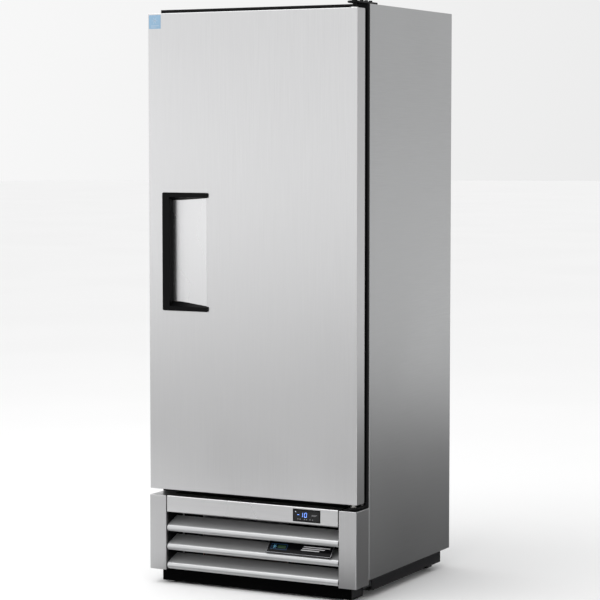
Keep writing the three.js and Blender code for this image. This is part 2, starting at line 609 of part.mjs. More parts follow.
const COIL = { x: [-200, 60], y: [100, 148], z: [trayTop + GAP, 228] };
part(unit, 'condenser_coil', join(
  block(COIL.x, COIL.y, COIL.z),
  block([-212, 72], [110, 120], [90, 100]),
  block([-212, 72], [128, 138], [180, 190])), 'blackPaint');
part(unit, 'fan_shroud', cut(
  block(COIL.x, [COIL.y[1] + GAP, CONDENSER_FAN.y + CONDENSER_FAN.depth], COIL.z),
  block(shrink(COIL.x, 2), [0, COIL.y[1] + 20], [COIL.z[0] + 2, COIL.z[1] - 2]),
  block([-250, 100], [COIL.y[1] + 24, 300], [0, 300]),
  bar(CONDENSER_FAN.x, CONDENSER_FAN.z, [0, 300], CONDENSER_FAN.radius + 5, 24)), 'blackPaint');
part(unit, 'condenser_motor', fanMotor(
  CONDENSER_FAN, 52, [trayTop + GAP, CONDENSER_FAN.z]), 'blackPaint');

const compressorProfile = [
  [0, 0], [70, 0], [70, 6], [84, 16], [86, 60], [84, 66], [84, 104], [72, 132], [44, 150], [0, 156]];
const compressor = part(unit, 'compressor', turned(compressorProfile, 24), 'blackPaint');
compressor.position.set(120, 400, trayTop + GAP);

// Condensate pan, open upwards.
const PAN = { x: [-220, 10], y: [340, 540], z: [trayTop + GAP, trayTop + 34] };
part(unit, 'condensate_pan', cut(
  block(PAN.x, PAN.y, PAN.z),
  block(shrink(PAN.x, 2), shrink(PAN.y, 2), [PAN.z[0] + 2, PAN.z[1] + 1])), 'blackPlastic');

export default refrigerator;
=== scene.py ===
"""Looks of a reach-in refrigerator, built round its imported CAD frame.

Lengths are in millimetres until a piece is made, which scales it to metres; the studio at the end
is in metres. +Z is up and the door faces -Y.
"""
import json
import math

import bmesh
import bpy
from mathutils import Matrix, Vector


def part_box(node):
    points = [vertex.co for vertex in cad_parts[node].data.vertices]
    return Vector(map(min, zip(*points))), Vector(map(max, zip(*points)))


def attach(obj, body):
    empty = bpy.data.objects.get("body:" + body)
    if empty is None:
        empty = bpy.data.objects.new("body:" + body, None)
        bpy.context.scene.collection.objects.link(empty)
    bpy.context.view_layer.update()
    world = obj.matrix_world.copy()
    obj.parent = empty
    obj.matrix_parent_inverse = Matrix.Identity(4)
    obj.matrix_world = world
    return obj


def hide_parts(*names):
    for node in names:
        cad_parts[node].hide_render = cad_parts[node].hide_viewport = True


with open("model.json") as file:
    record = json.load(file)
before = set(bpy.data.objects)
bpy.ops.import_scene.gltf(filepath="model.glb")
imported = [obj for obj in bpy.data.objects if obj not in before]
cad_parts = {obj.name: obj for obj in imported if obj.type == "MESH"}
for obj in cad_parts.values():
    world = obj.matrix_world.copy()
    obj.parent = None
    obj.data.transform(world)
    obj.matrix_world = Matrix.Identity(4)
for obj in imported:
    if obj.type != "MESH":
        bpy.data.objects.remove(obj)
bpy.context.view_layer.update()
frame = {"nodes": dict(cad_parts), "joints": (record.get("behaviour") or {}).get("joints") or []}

MM = 0.001
TINY = 0.001  # well under any step in a shape
CABINET = "cabinet"
DOOR = "door"
SIDES = (("left", -1), ("right", 1))


# ---- Materials -----------------------------------------------------------------------------
LATTICE_TURN = (0.7, 0.5, 0.9)  # keeps the noises' own lattice away from the grain of the sheets


class Finish:
    """A Principled material built up from noises that vary its colour, roughness and height."""

    def __init__(self, name, slot, colour, roughness, **sockets):
        self.material = bpy.data.materials.new(name)
        self.material.use_nodes = True
        self.tree = self.material.node_tree
        self.shader = self.tree.nodes["Principled BSDF"]
        self.roughness = roughness
        self.set("Base Color", (*colour, 1.0))
        self.set("Roughness", roughness)
        for socket, value in sockets.items():
            self.set(socket.replace("_", " "), value)
        self.place = self.node("ShaderNodeTexCoord").outputs["Object"]

    def set(self, socket, value):
        self.shader.inputs[socket].default_value = value

    def node(self, kind, **settings):
        made = self.tree.nodes.new(kind)
        for key, value in settings.items():
            setattr(made, key, value)
        return made

    def link(self, output, target):
        self.tree.links.new(output, target)

    def texture(self, kind, scale):
        """A texture node whose features are 1 / scale metres apart along each axis."""
        mapping = self.node("ShaderNodeMapping")
        mapping.inputs["Scale"].default_value = scale
        mapping.inputs["Rotation"].default_value = LATTICE_TURN
        self.link(self.place, mapping.inputs["Vector"])
        texture = self.node(kind)
        self.link(mapping.outputs["Vector"], texture.inputs["Vector"])
        texture.inputs["Scale"].default_value = 1.0
        return texture

    def noise(self, scale, detail=3.0):
        """A value about 0.5."""
        texture = self.texture("ShaderNodeTexNoise", scale)
        texture.inputs["Detail"].default_value = detail
        return texture.outputs["Fac"]

    def cells(self, scale):
        separate = self.node("ShaderNodeSeparateColor")
        self.link(self.texture("ShaderNodeTexVoronoi", scale).outputs["Color"], separate.inputs["Color"])
        return separate.outputs["Red"]

    def spread(self, value, low, high):
        """Brings the middle of a noise's range up to the whole way from low to high."""
        ranged = self.node("ShaderNodeMapRange", interpolation_type="SMOOTHSTEP")
        self.link(value, ranged.inputs["Value"])
        for socket, number in (("From Min", 0.3), ("From Max", 0.7), ("To Min", low), ("To Max", high)):
            ranged.inputs[socket].default_value = number
        return ranged.outputs["Result"]

    def tint(self, value, other, amount=1.0):
        """Mixes the colour so far with another, where the value is high."""
        mix = self.node("ShaderNodeMix", data_type="RGBA")
        current = self.shader.inputs["Base Color"]
        if current.is_linked:
            self.link(current.links[0].from_socket, mix.inputs[6])
        else:
            mix.inputs[6].default_value = current.default_value
        mix.inputs[7].default_value = (*other, 1.0)
        self.link(self.spread(value, 0.0, amount), mix.inputs[0])
        self.link(mix.outputs[2], current)
        return self

    def rough(self, value, change):
        ranged = self.spread(value, self.roughness - change, self.roughness + change)
        self.link(ranged, self.shader.inputs["Roughness"])
        return self

    def bump(self, value, depth):
        bump = self.node("ShaderNodeBump")
        bump.inputs["Distance"].default_value = depth * MM
        self.link(value, bump.inputs["Height"])
        self.link(bump.outputs["Normal"], self.shader.inputs["Normal"])
        return self


def even(scale):
    return (scale, scale, scale)


def scaled(colour, factor):
    return tuple(min(1.0, channel * factor) for channel in colour)


def brushed(name, slot, colour, roughness, grain, depth=0.004, metallic=1.0):
    """Sheet with a fine linear grain; grain holds the noise scale along each axis."""
    finish = Finish(name, slot, colour, roughness, Metallic=metallic)
    lines = finish.noise(grain, detail=4.0)
    broad = finish.noise((3.0, 3.0, 2.2), detail=2.0)
    finish.tint(lines, scaled(colour, 0.93)).tint(broad, scaled(colour, 1.02), 0.6)
    return finish.rough(broad, 0.02).bump(lines, depth).material


def moulded(name, slot, colour, roughness, pebble=900.0, depth=0.02, specular=0.5, metallic=0.0):
    """Plastic or paint with a fine pebbled surface and slightly worn, duller patches."""
    finish = Finish(name, slot, colour, roughness, Metallic=metallic, Specular_IOR_Level=specular)
    fine = finish.noise(even(pebble), detail=2.0)
    broad = finish.noise(even(9.0))
    finish.tint(broad, scaled(colour, 1.35), 0.7).rough(broad, 0.06)
    return finish.bump(fine, depth).material


def galvanised_material():
    """Zinc-coated sheet with its spangle of crystal patches."""
    finish = Finish("galvanised_sheet", "galvanised", (0.46, 0.47, 0.48), 0.44, Metallic=1.0)
    spangle = finish.cells(even(130.0))
    finish.tint(spangle, (0.56, 0.57, 0.58), 0.7).rough(spangle, 0.025)
    return finish.tint(finish.noise(even(6.0)), (0.40, 0.41, 0.42), 0.3).material


def stained_metal(name, slot, colour, roughness, stain_scale, stain_colour, amount, change):
    finish = Finish(name, slot, colour, roughness, Metallic=1.0)
    stain = finish.noise(even(stain_scale), detail=4.0)
    finish.tint(stain, stain_colour, amount).rough(stain, change)
    return finish, stain


def lit_material(name, colour, strength):
    finish = Finish(name, "label", colour, 0.3)
    finish.set("Emission Color", (*colour, 1.0))
    finish.set("Emission Strength", strength)
    return finish.tint(finish.noise(even(900.0)), scaled(colour, 0.8), 0.5).material


UPRIGHT_GRAIN = (1100.0, 1100.0, 7.0)
CROSS_GRAIN = (7.0, 1100.0, 1100.0)
STEEL = (0.56, 0.56, 0.565)
stainless = brushed("brushed_stainless", "stainless", STEEL, 0.30, UPRIGHT_GRAIN)
stainless_across = brushed("brushed_stainless_across", "stainless", STEEL, 0.28, CROSS_GRAIN)
post_steel = brushed("post_steel", "stainless", (0.46, 0.46, 0.465), 0.34, UPRIGHT_GRAIN)
scoop_satin = brushed("scoop_satin", "stainless", (0.48, 0.48, 0.485), 0.26, UPRIGHT_GRAIN, depth=0.001)
louver_satin = brushed("louver_satin", "stainless", (0.50, 0.505, 0.51), 0.33, CROSS_GRAIN, metallic=0.5)
side_sheet = brushed(
    "side_aluminium", "side_aluminium", (0.50, 0.505, 0.51), 0.34, (900.0, 12.0, 900.0), depth=0.003)
liner_sheet = brushed(
    "liner_aluminium", "liner_aluminium", (0.78, 0.785, 0.79), 0.42, (700.0, 700.0, 9.0), depth=0.003)
fin_sheet = brushed("fin_aluminium", "fins", (0.55, 0.56, 0.57), 0.38, (30.0, 900.0, 30.0))

BLACK = (0.0035, 0.0035, 0.0038)
black_plastic = moulded("black_plastic", "black_plastic", BLACK, 0.36, 1400.0, 0.012, specular=0.10)
black_paint = moulded("black_paint", "black_paint", BLACK, 0.38, 420.0, 0.03, specular=0.10)
base_paint = moulded(
    "base_paint", "black_paint", (0.0008, 0.0008, 0.0009), 0.42, 420.0, 0.03, specular=0.015)
rail_paint = moulded("rail_paint", "black_paint", (0.010, 0.010, 0.011), 0.42, 420.0, 0.03, specular=0.10)
handle_black = moulded(
    "handle_black", "black_plastic", (0.0028, 0.0028, 0.003), 0.34, 1400.0, 0.012, specular=0.06)
gloss_black = moulded("gloss_black", "gloss_black", (0.003, 0.003, 0.0035), 0.08, 60.0, 0.002, specular=0.3)
plate_black = moulded("plate_black", "gloss_black", (0.0025, 0.0025, 0.003), 0.16, 60.0, 0.002, specular=0.05)
seal_rubber = moulded("seal_rubber", "rubber", (0.010, 0.010, 0.011), 0.55, 1100.0, 0.015, specular=0.10)
white_plastic = moulded("white_plastic", "white_plastic", (0.76, 0.76, 0.74), 0.42, depth=0.008)
shelf_coat = moulded("shelf_coating", "shelf_coat", (0.70, 0.71, 0.715), 0.34, 300.0)
foam_fill = moulded("foam_fill", "foam", (0.62, 0.50, 0.27), 0.9, 500.0, 0.3)
lamp_diffuser = moulded("lamp_diffuser", "lamp_diffuser", (0.86, 0.88, 0.88), 0.35, 200.0)
silver_print = moulded("silver_print", "zinc", (0.26, 0.26, 0.27), 0.35, 2000.0, 0.002, metallic=0.6)
bright_print = moulded("bright_print", "zinc", (0.50, 0.50, 0.51), 0.35, 2000.0, 0.002)
print_sky = moulded("print_sky", "label", (0.10, 0.30, 0.46), 0.35, 1500.0, 0.003)
label_blue = moulded("label_blue", "label", (0.215, 0.345, 0.475), 0.4, 1500.0, 0.003)
label_white = moulded("label_white", "label", (0.34, 0.44, 0.54), 0.4, 1500.0, 0.003)
print_blue = moulded("print_blue", "label", (0.01, 0.06, 0.15), 0.35, 1500.0, 0.003)
print_green = moulded("print_green", "label", (0.006, 0.030, 0.007), 0.35, 1500.0, 0.003)

galvanised = galvanised_material()
zinc_finish, zinc_stain = stained_metal(
    "zinc_plate", "zinc", (0.50, 0.50, 0.50), 0.34, 140.0, (0.38, 0.37, 0.34), 0.8, 0.09)
zinc = zinc_finish.bump(zinc_stain, 0.02).material
copper = stained_metal(
    "copper_pipe", "copper", (0.72, 0.34, 0.20), 0.30, 60.0, (0.36, 0.17, 0.10), 0.9, 0.10)[0].material
digit_blue = lit_material("digit_blue", (0.16, 0.32, 0.90), 1.4)
lamp_dot = lit_material("lamp_dot", (0.75, 0.85, 1.0), 1.2)


# ---- Boxes, paths and outlines -------------------------------------------------------------
def box(node):
    """The low and high corners of a CAD node."""
    low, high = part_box(node)
    return low / MM, high / MM


def middle(node):
    low, high = box(node)
    return (low + high) / 2


def filleted(points, radius, steps=4, closed=False):
    """The same path with its corners rounded. Points are 2-D or 3-D; radius may be one per corner."""
    points = [Vector(p) for p in points]
    count = len(points)
    path = []
    for i, corner in enumerate(points):
        if not closed and i in (0, count - 1):
            path.append(corner)
            continue
        before = points[i - 1] - corner
        after = points[(i + 1) % count] - corner
        bend = radius[i] if isinstance(radius, (list, tuple)) else radius
        angle = before.angle(after)
        if bend <= 0 or angle > math.radians(179):
            path.append(corner)
            continue
        run = min(bend / math.tan(angle / 2), 0.499 * before.length, 0.499 * after.length)
        bend = run * math.tan(angle / 2)
        centre = corner + (before.normalized() + after.normalized()).normalized() * bend / math.sin(angle / 2)
        start = corner + before.normalized() * run - centre
        end = corner + after.normalized() * run - centre
        sweep = start.angle(end)
        for k in range(steps + 1):
            t = k / steps
            weight_start = math.sin((1 - t) * sweep) / math.sin(sweep)
            weight_end = math.sin(t * sweep) / math.sin(sweep)
            path.append(centre + start * weight_start + end * weight_end)
    return path


def rectangle(u0, u1, v0, v1, radius, steps=4):
    return filleted([(u0, v0), (u1, v0), (u1, v1), (u0, v1)], radius, steps, closed=True)


def mirrored(outline, side):
    return [(side * u, v) for u, v in outline]


def at_depth(outline, y):
    return [(u, y, v) for u, v in outline]


def arc(centre, radius, start, end, steps):
    """Points round a centre, with angles in degrees."""
    points = []
    for k in range(steps + 1):
        angle = math.radians(start + (end - start) * k / steps)
        points.append(Vector((centre[0] + radius * math.cos(angle), centre[1] + radius * math.sin(angle))))
    return points


def circle(centre, radius, y, steps):
    """Points round a centre in an upright plane across Y."""
    points = []
    for k in range(steps):
        angle = 2 * math.pi * k / steps
        points.append((centre.x + radius * math.cos(angle), y, centre.z + radius * math.sin(angle)))
    return points


def thickened(path, thickness):
    """A closed outline for a sheet that follows an open 2-D path, on its left side."""
    offset = []
    for i, point in enumerate(path):
        ahead = path[min(i + 1, len(path) - 1)] - point
        behind = point - path[max(i - 1, 0)]
        ahead, behind = ahead if ahead.length else behind, behind if behind.length else ahead
        normal_a = Vector((-ahead.y, ahead.x)).normalized()
        normal_b = Vector((-behind.y, behind.x)).normalized()
        bisector = (normal_a + normal_b).normalized()
        offset.append(point + bisector * thickness / max(0.3, bisector.dot(normal_a)))
    return list(path) + offset[::-1]


# ---- Shapes and pieces ---------------------------------------------------------------------
def placed(axis, u, v, w):
    """A point from two coordinates across an axis and one along it."""
    return {"x": (w, u, v), "y": (u, w, v), "z": (u, v, w)}[axis]


def add_to_scene(name, data):
    made = bpy.data.objects.new(name, data)
    bpy.context.scene.collection.objects.link(made)
    return made


def mesh_object(name, mesh):
    """Hands a bmesh over to a new object."""
    data = bpy.data.meshes.new(name)
    mesh.to_mesh(data)
    mesh.free()
    return add_to_scene(name, data)


class Shape:
    """A mesh under construction. Everything that adds to it returns it."""

    def __init__(self):
        self.mesh = bmesh.new()

    def box(self, low, high, turn=Matrix()):
        low, high = Vector(low), Vector(high)
        matrix = turn @ Matrix.Translation((low + high) / 2) @ Matrix.Diagonal((*(high - low), 1.0))
        bmesh.ops.create_cube(self.mesh, size=1.0, matrix=matrix)
        return self

    def prism(self, outline, axis, start, end):
        near = [self.mesh.verts.new(placed(axis, u, v, start)) for u, v in outline]
        far = [self.mesh.verts.new(placed(axis, u, v, end)) for u, v in outline]
        self.mesh.faces.new(near[::-1])
        self.mesh.faces.new(far)
        for i, vertex in enumerate(near):
            j = (i + 1) % len(near)
            self.mesh.faces.new((vertex, near[j], far[j], far[i]))
        return self

    def rings(self, rings, cap_first=True, closed=False):
        """Skins a row of rings that have the same number of points; closed joins the last to the first."""
        made = [[self.mesh.verts.new(point) for point in ring] for ring in rings]
        for ring, following in zip(made, made[1:] + made[:closed]):
            for i, vertex in enumerate(ring):
                j = (i + 1) % len(ring)
                self.mesh.faces.new((vertex, ring[j], following[j], following[i]))
        if cap_first and not closed:
            self.mesh.faces.new(made[0][::-1])
        if not closed:
            self.mesh.faces.new(made[-1])
        return self

    def turned(self, profile, centre, axis="z", steps=24, bore=False):
        """A turned solid from (radius, distance along the axis) pairs; with a bore its ends join up."""
        rings = []
        for radius, along in profile:
            ring = []
            for k in range(steps):
                angle = 2 * math.pi * k / steps
                across = (max(radius, TINY) * math.cos(angle), max(radius, TINY) * math.sin(angle))
                ring.append(Vector(centre) + Vector(placed(axis, *across, along)))
            rings.append(ring)
        return self.rings(rings, closed=bore)

    def hexagon(self, centre, radius, height):
        """An upright bolt head."""
        return self.turned([(radius, 0), (radius, height * 0.8), (radius * 0.88, height)], centre, "z", 6)

    def soften(self, radius, chosen):
        """Rounds the edges whose two ends pass a test."""
        edges = [e for e in self.mesh.edges if chosen(*(v.co for v in e.verts))]
        bmesh.ops.bevel(self.mesh, geom=edges, offset=radius, segments=4, profile=0.5, affect="EDGES")
        return self

    def without(self, gone):
        """Takes away the faces whose corners all pass a test."""
        faces = [f for f in self.mesh.faces if all(gone(v.co) for v in f.verts)]
        bmesh.ops.delete(self.mesh, geom=faces, context="FACES")
        return self

    def made(self, name):
        """An object in metres, which uses the shape up."""
        bmesh.ops.scale(self.mesh, vec=even(MM), verts=self.mesh.verts)
        bmesh.ops.remove_doubles(self.mesh, verts=self.mesh.verts, dist=1e-7)
        bmesh.ops.recalc_face_normals(self.mesh, faces=self.mesh.faces)
        return mesh_object(name, self.mesh)

    def finish(self, name, material, body=CABINET, node=None, crease=32, bevel=0, segments=3, weighted=True):
        """Makes a piece, gives it its finish, ties it to its body and hides the CAD node it stands for."""
        piece = self.made(name)
        piece.data.materials.append(material)
        piece.data.shade_smooth()
        if bevel:
            round_edges(piece, bevel, segments, crease)
        else:
            piece.data.set_sharp_from_angle(angle=math.radians(crease))
        if weighted:
            weigh_normals(piece)
        return settle(piece, body, node)


def settle(piece, body, node):
    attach(piece, body)
    if node:
        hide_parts(node)
    return piece


def round_edges(piece, width, segments, crease):
    rounding = piece.modifiers.new("rounding", "BEVEL")
    rounding.width = width * MM
    rounding.segments = segments
    rounding.limit_method = "ANGLE"
    rounding.angle_limit = math.radians(crease)


def weigh_normals(piece):
    piece.modifiers.new("normals", "WEIGHTED_NORMAL").keep_sharp = True


def fold_sheet(piece, thickness, offset=-1):
    """Gives an open surface the thickness of sheet, ahead of its other modifiers."""
    shell = piece.modifiers.new("sheet", "SOLIDIFY")
    shell.thickness = thickness * MM
    shell.offset = offset
    piece.modifiers.move(len(piece.modifiers) - 1, 0)


def cut(piece, shape, crease=0, operation="DIFFERENCE"):
    """Applies a piece's modifiers and cuts it with a shape; crease marks its sharp edges anew."""
    cutter = shape.made("cutter")
    boolean = piece.modifiers.new("cut", "BOOLEAN")
    boolean.operation = operation
    boolean.solver = "EXACT"
    boolean.use_self = True
    boolean.object = cutter
    graph = bpy.context.evaluated_depsgraph_get()
    shaped = bpy.data.meshes.new_from_object(piece.evaluated_get(graph))
    piece.modifiers.clear()
    old = piece.data
    piece.data = shaped
    shaped.name = old.name
    bpy.data.meshes.remove(old)
    bpy.data.objects.remove(cutter, do_unlink=True)
    if crease:
        shaped.set_sharp_from_angle(angle=math.radians(crease))


def wires(name, paths, radius, material, body=CABINET, node=None, cyclic=False, sides=3):
    """Round wires or pipes along 3-D paths, as one curve object."""
    curve = bpy.data.curves.new(name, "CURVE")
    curve.dimensions = "3D"
    curve.bevel_depth = radius * MM
    curve.bevel_resolution = sides
    curve.use_fill_caps = True
    for path in paths:
        spline = curve.splines.new("POLY")
        spline.points.add(len(path) - 1)
        spline.use_cyclic_u = cyclic
        spline.use_smooth = True
        for point, place in zip(spline.points, path):
            point.co = (*(Vector(place) * MM), 1.0)
    curve.materials.append(material)
    settle(add_to_scene(name, curve), body, node)


def pan_head_screws(name, places, radius, facing=1):
    """Domed cross-head screws along Y; facing is the side their heads stand out on."""
    head = [(0.98, 0), (1, 0.12), (0.86, 0.42), (0.5, 0.6), (0.34, 0.62), (0.26, 0.25), (0, 0.2)]
    screws = Shape()
    for place in places:
        screws.turned([(r * radius, facing * h * radius) for r, h in head], place, "y", 12)
    screws.finish(name, zinc, crease=50)


# ---- Door ----------------------------------------------------------------------------------
skin_low, skin_high = box("door_skin")
handle_low, handle_high = box("door_handle")
pocket_low, pocket_high = box("handle_pocket")
closer_low, closer_high = box("door_closer")
pin = middle("door_closer")
DOOR_FRONT = skin_low.y
SHEET = 1.2  # the stainless panels' thickness
GAP = 0.3  # clearance between the scoop and the grip, and under the hinge plate
ARM_FACE = 12  # height of the grip's two arms at their face
SCOOP_FLAT = 24  # level part of the scoop beside the bar
LEAN_BOTTOM = 0.6  # how fast the lower arm's inner wall rises with depth
LEAN_TOP = 0.405
PLUG_HALF = 250  # half the width of the inner panel's raised middle


def door_skin():
    """Folded pan with soft edges all round its face and an opening for the handle."""
    pan = Shape().box(skin_low, skin_high).soften(1.7, lambda a, b: min(a.y, b.y) < DOOR_FRONT + TINY)
    pan.without(lambda p: p.y > skin_high.y - TINY)
    piece = pan.finish("door_skin_sheet", stainless, DOOR, "door_skin", weighted=False)
    fold_sheet(piece, SHEET)
    outline = rectangle(handle_low.x + 0.8, handle_high.x - 4, handle_low.z + 0.8, handle_high.z - 0.8, 3.5)
    holes = Shape().prism(outline, "y", DOOR_FRONT - 5, DOOR_FRONT + 30)
    for edge in (skin_low.z, skin_high.z):
        holes.turned([(6, edge - 5), (6, edge + 5)], (pin.x, pin.y, 0))
    cut(piece, holes, crease=32)
    weigh_normals(piece)


def handle_frame():
    """C-shaped black grip with leaning inner walls, softened along every edge."""
    bar_right = pocket_low.x - GAP
    front, back = handle_low.y, handle_high.y
    outline = rectangle(handle_low.x, handle_high.x, handle_low.z, handle_high.z, 4.2, 6)
    grip = Shape().prism(outline, "y", front, back)
    piece = grip.finish("handle_grip", handle_black, DOOR, "door_handle", weighted=False)
    plan = [
        (handle_low.x - 1, front - 1), (handle_high.x + 1, front - 1), (handle_high.x + 1, DOOR_FRONT - 0.1),
        (pocket_high.x, DOOR_FRONT - 0.1), (pocket_high.x, DOOR_FRONT + 2), (bar_right + SCOOP_FLAT, back),
        (handle_low.x - 1, back)]
    cut(piece, Shape().prism(plan, "z", handle_low.z - 1, handle_high.z + 1), operation="INTERSECT")
    cut(piece, Shape().rings([pocket_ring(bar_right, front - 2), pocket_ring(bar_right, back + 2)]))
    piece.data.shade_smooth()
    round_edges(piece, 1.3, 4, 35)
    weigh_normals(piece)


def pocket_heights(y):
    depth = y - handle_low.y
    return handle_low.z + ARM_FACE + depth * LEAN_BOTTOM, handle_high.z - ARM_FACE - depth * LEAN_TOP


def pocket_ring(left, y):
    """The pocket's outline at a depth, open past the tips of the arms."""
    low, high = pocket_heights(y)
    return [(left, y, low), (0, y, low), (0, y, high), (left, y, high)]


def finger_pocket():
    """Stainless scoop: a long ramp from the door's face that levels out at the foot of the bar."""
    right, left = pocket_high.x, pocket_low.x
    depth = pocket_high.y - DOOR_FRONT - SHEET
    rings = []
    for x, y in filleted([(right, 0), (left + SCOOP_FLAT, depth), (left, depth)], 90, 8):
        low, high = pocket_heights(DOOR_FRONT + y + SHEET)
        front = DOOR_FRONT + max(y, 0.05)
        rings.append([
            (x, front, low + GAP), (x, front, high - GAP),
            (x, front + SHEET, high - GAP), (x, front + SHEET, low + GAP)])
    Shape().rings(rings).finish("finger_scoop", scoop_satin, DOOR, "handle_pocket", crease=40)


def door_label():
    """Small square sticker in the door's top left corner with a plain snowflake and two bars."""
    size = 37
    left, top = skin_low.x + 3, skin_high.z - 4
    outline = rectangle(left, left + size, top - size, top, 1.5)
    Shape().prism(outline, "y", DOOR_FRONT - 0.25, DOOR_FRONT - 0.05).finish("door_sticker", label_blue, DOOR)
    print_front, print_back = DOOR_FRONT - 0.42, DOOR_FRONT - 0.22
    marks = Shape()
    centre = Matrix.Translation((left + size * 0.5, print_front, top - size * 0.42))
    for k in range(3):
        marks.box((-9, 0, -0.7), (9, 0.2, 0.7), centre @ Matrix.Rotation(math.radians(60 * k), 4, "Y"))
    for row in range(2):
        z = top - size * (0.80 + 0.09 * row)
        marks.box((left + 6, print_front, z), (left + size - 6 - 8 * row, print_back, z + 1.6))
    marks.finish("door_sticker_print", label_white, DOOR)


def plug_outline(inset, radius):
    """The raised middle of the door's inner panel, drawn in by an inset."""
    bottom, top = cabin_low.z + 14, mouth_top - 14
    return rectangle(inset - PLUG_HALF, PLUG_HALF - inset, bottom + inset, top - inset, radius, 6)


def door_inner_face():
    """Formed inner panel: a flat rim, a soft step and a raised middle with rounded edges."""
    low, high = box("door_liner")
    rim, face = low.y + 1.5, high.y
    corner, foot, reach, bend = 16, 3, 4, 7
    quarter = [math.radians(18 * k) for k in range(6)]
    rings = [
        at_depth(rectangle(low.x, high.x, low.z, high.z, 3, 6), rim),
        at_depth(plug_outline(-foot, corner + foot), rim)]
    for angle in quarter:
        outline = plug_outline(foot * math.sin(angle) - foot, corner)
        rings.append(at_depth(outline, rim + reach * (1 - math.cos(angle))))
    for angle in quarter:
        outline = plug_outline(bend * (1 - math.cos(angle)), corner)
        rings.append(at_depth(outline, face - bend + bend * math.sin(angle)))
    rings += [at_depth(plug_outline(26, corner), face), at_depth(plug_outline(29, corner), face - 2.2)]
    panel = Shape().rings(rings, cap_first=False)
    fold_sheet(panel.finish("door_inner_panel", liner_sheet, DOOR, "door_liner", crease=50), SHEET)


def door_filling():
    """Foam block that follows the inside of the door's two skins."""
    low, high = box("door_foam")
    rim = box("door_liner")[0].y
    block, plug = rectangle(low.x, high.x, low.z, high.z, 3, 6), plug_outline(6, 14)
    rings = [
        at_depth(block, low.y + 3), at_depth(block, rim - 2), at_depth(plug, rim - 2),
        at_depth(plug, high.y - 4)]
    piece = Shape().rings(rings).finish("door_filling", foam_fill, DOOR, "door_foam")
    front = low.y - 5
    space = Shape().box(
        (handle_low.x - 3, front, handle_low.z - 3),
        (pocket_high.x + 3, pocket_high.y + 3, handle_high.z + 3))
    for bottom, top in ((low.z - 5, closer_high.z + 2), (high.z - 30, high.z + 5)):
        space.box((closer_low.x - 2, front, bottom), (high.x + 5, closer_high.y + 2, top))
    cut(piece, space)


def door_seal():
    """Extruded magnetic seal with mitred corners: base, folded bellows and a bulb for the magnet."""
    low, high = box("door_gasket")
    front, back = low.y, high.y
    section = [
        (0, front), (0, front + 4), (3, front + 6), (0.6, front + 9.5), (0.6, front + 13), (6, front + 14.8),
        (13.5, back - 4.5), (15, back - 0.8), (17, back), (26, back), (28, back - 1.2), (28, back - 5),
        (25, back - 6.4), (27.5, front + 9), (24, front + 6), (28.5, front + 3.5), (28.5, front)]
    rings = []
    for inset, y in filleted(section, 0.9, 2, closed=True):
        left, right, bottom, top = low.x + inset, high.x - inset, low.z + inset, high.z - inset
        rings.append([(left, y, bottom), (right, y, bottom), (right, y, top), (left, y, top)])
    seal = Shape().rings(rings, closed=True)
    seal.finish("door_seal", seal_rubber, DOOR, "door_gasket", crease=60, weighted=False)


def hinge_bushings():
    """White bushings round the pins, at the door's top and bottom."""
    section = [(5.4, 0), (9.5, 0), (9.5, 1.6), (8.5, 2.4), (5.4, 2.4)]
    bushings = Shape()
    for z, facing in ((skin_high.z, 1), (skin_low.z, -1)):
        bushings.turned([(r, facing * h) for r, h in section], (pin.x, pin.y, z), bore=True)
    bushings.finish("hinge_bushings", white_plastic, DOOR)


# ---- Cabinet shell -------------------------------------------------------------------------
liner_low, liner_high = box("interior_liner")
strip_low, strip_high = box("breaker_strip_right")
LINER = 1
cabin_low = liner_low + Vector((LINER, 0, LINER))
cabin_high = liner_high - Vector((LINER, LINER, LINER))
mouth_top = box("breaker_strip_top")[0].z


def side_panel(name, side):
    """Outer side sheet with a rolled front hem and three screws near its foot."""
    node = f"side_panel_{name}"
    low, high = box(node)
    outer = high.x if side > 0 else -low.x
    hem, bend, screw_pitch = 13, 3, 154
    path = [(outer - hem, low.y), (outer, low.y), (outer, high.y), (outer - 0.02, high.y)]
    outline = mirrored(thickened(filleted(path, [0, bend, 0, 0], 5)[:-1], 1.1), side)
    piece = Shape().prism(outline, "z", low.z, high.z).finish(f"side_sheet_{name}", side_sheet, node=node)
    head = [(3.1, -1), (3.1, -0.3), (2.8, -0.1), (1.2, -0.1), (1, -0.7), (0, -0.7)]
    seats, screws = Shape(), Shape()
    for k in range(3):
        place = (side * outer, low.y + 145 + k * screw_pitch, low.z + 4.2)
        seats.turned([(3.3, -2), (3.3, 2)], place, "x", 20)
        screws.turned([(r, side * h) for r, h in head], place, "x", 20)
    cut(piece, seats, crease=32)
    screws.finish(f"side_screws_{name}", zinc, crease=40)


def roof_and_back():
    low, high = box("top_panel")
    Shape().box(low, high).finish("roof_sheet", side_sheet, node="top_panel", bevel=0.3, segments=2)
    low, high = box("back_panel")
    face = high.y - 1  # leaves room for the screw heads
    sheet = Shape().box(low, (high.x, face, high.z))
    sheet.finish("back_sheet", galvanised, node="back_panel", bevel=0.3, segments=2)
    rows = [low.z + 30 + k * (high.z - low.z - 60) / 6 for k in range(7)]
    places = [(x, face - 1.4, z) for x in (low.x + 14, high.x - 14) for z in rows]
    places += [(x, face - 1.4, z) for x in (-150, 0, 150) for z in (low.z + 15, high.z - 15)]
    pan_head_screws("back_screws", places, 4)


def strip_section(face, nose):
    """A mouth strip's section from its inner edge outward: soft nose, fine groove, rounded corner."""
    front, back = strip_low.y, strip_high.y
    groove = front + 0.8
    return [
        (0, back), (0, front + 1.5), (1.5, front), (6, front), (6.6, groove), (7.8, groove), (8.4, front),
        (face - nose, front), (face, front + nose), (face, back)]


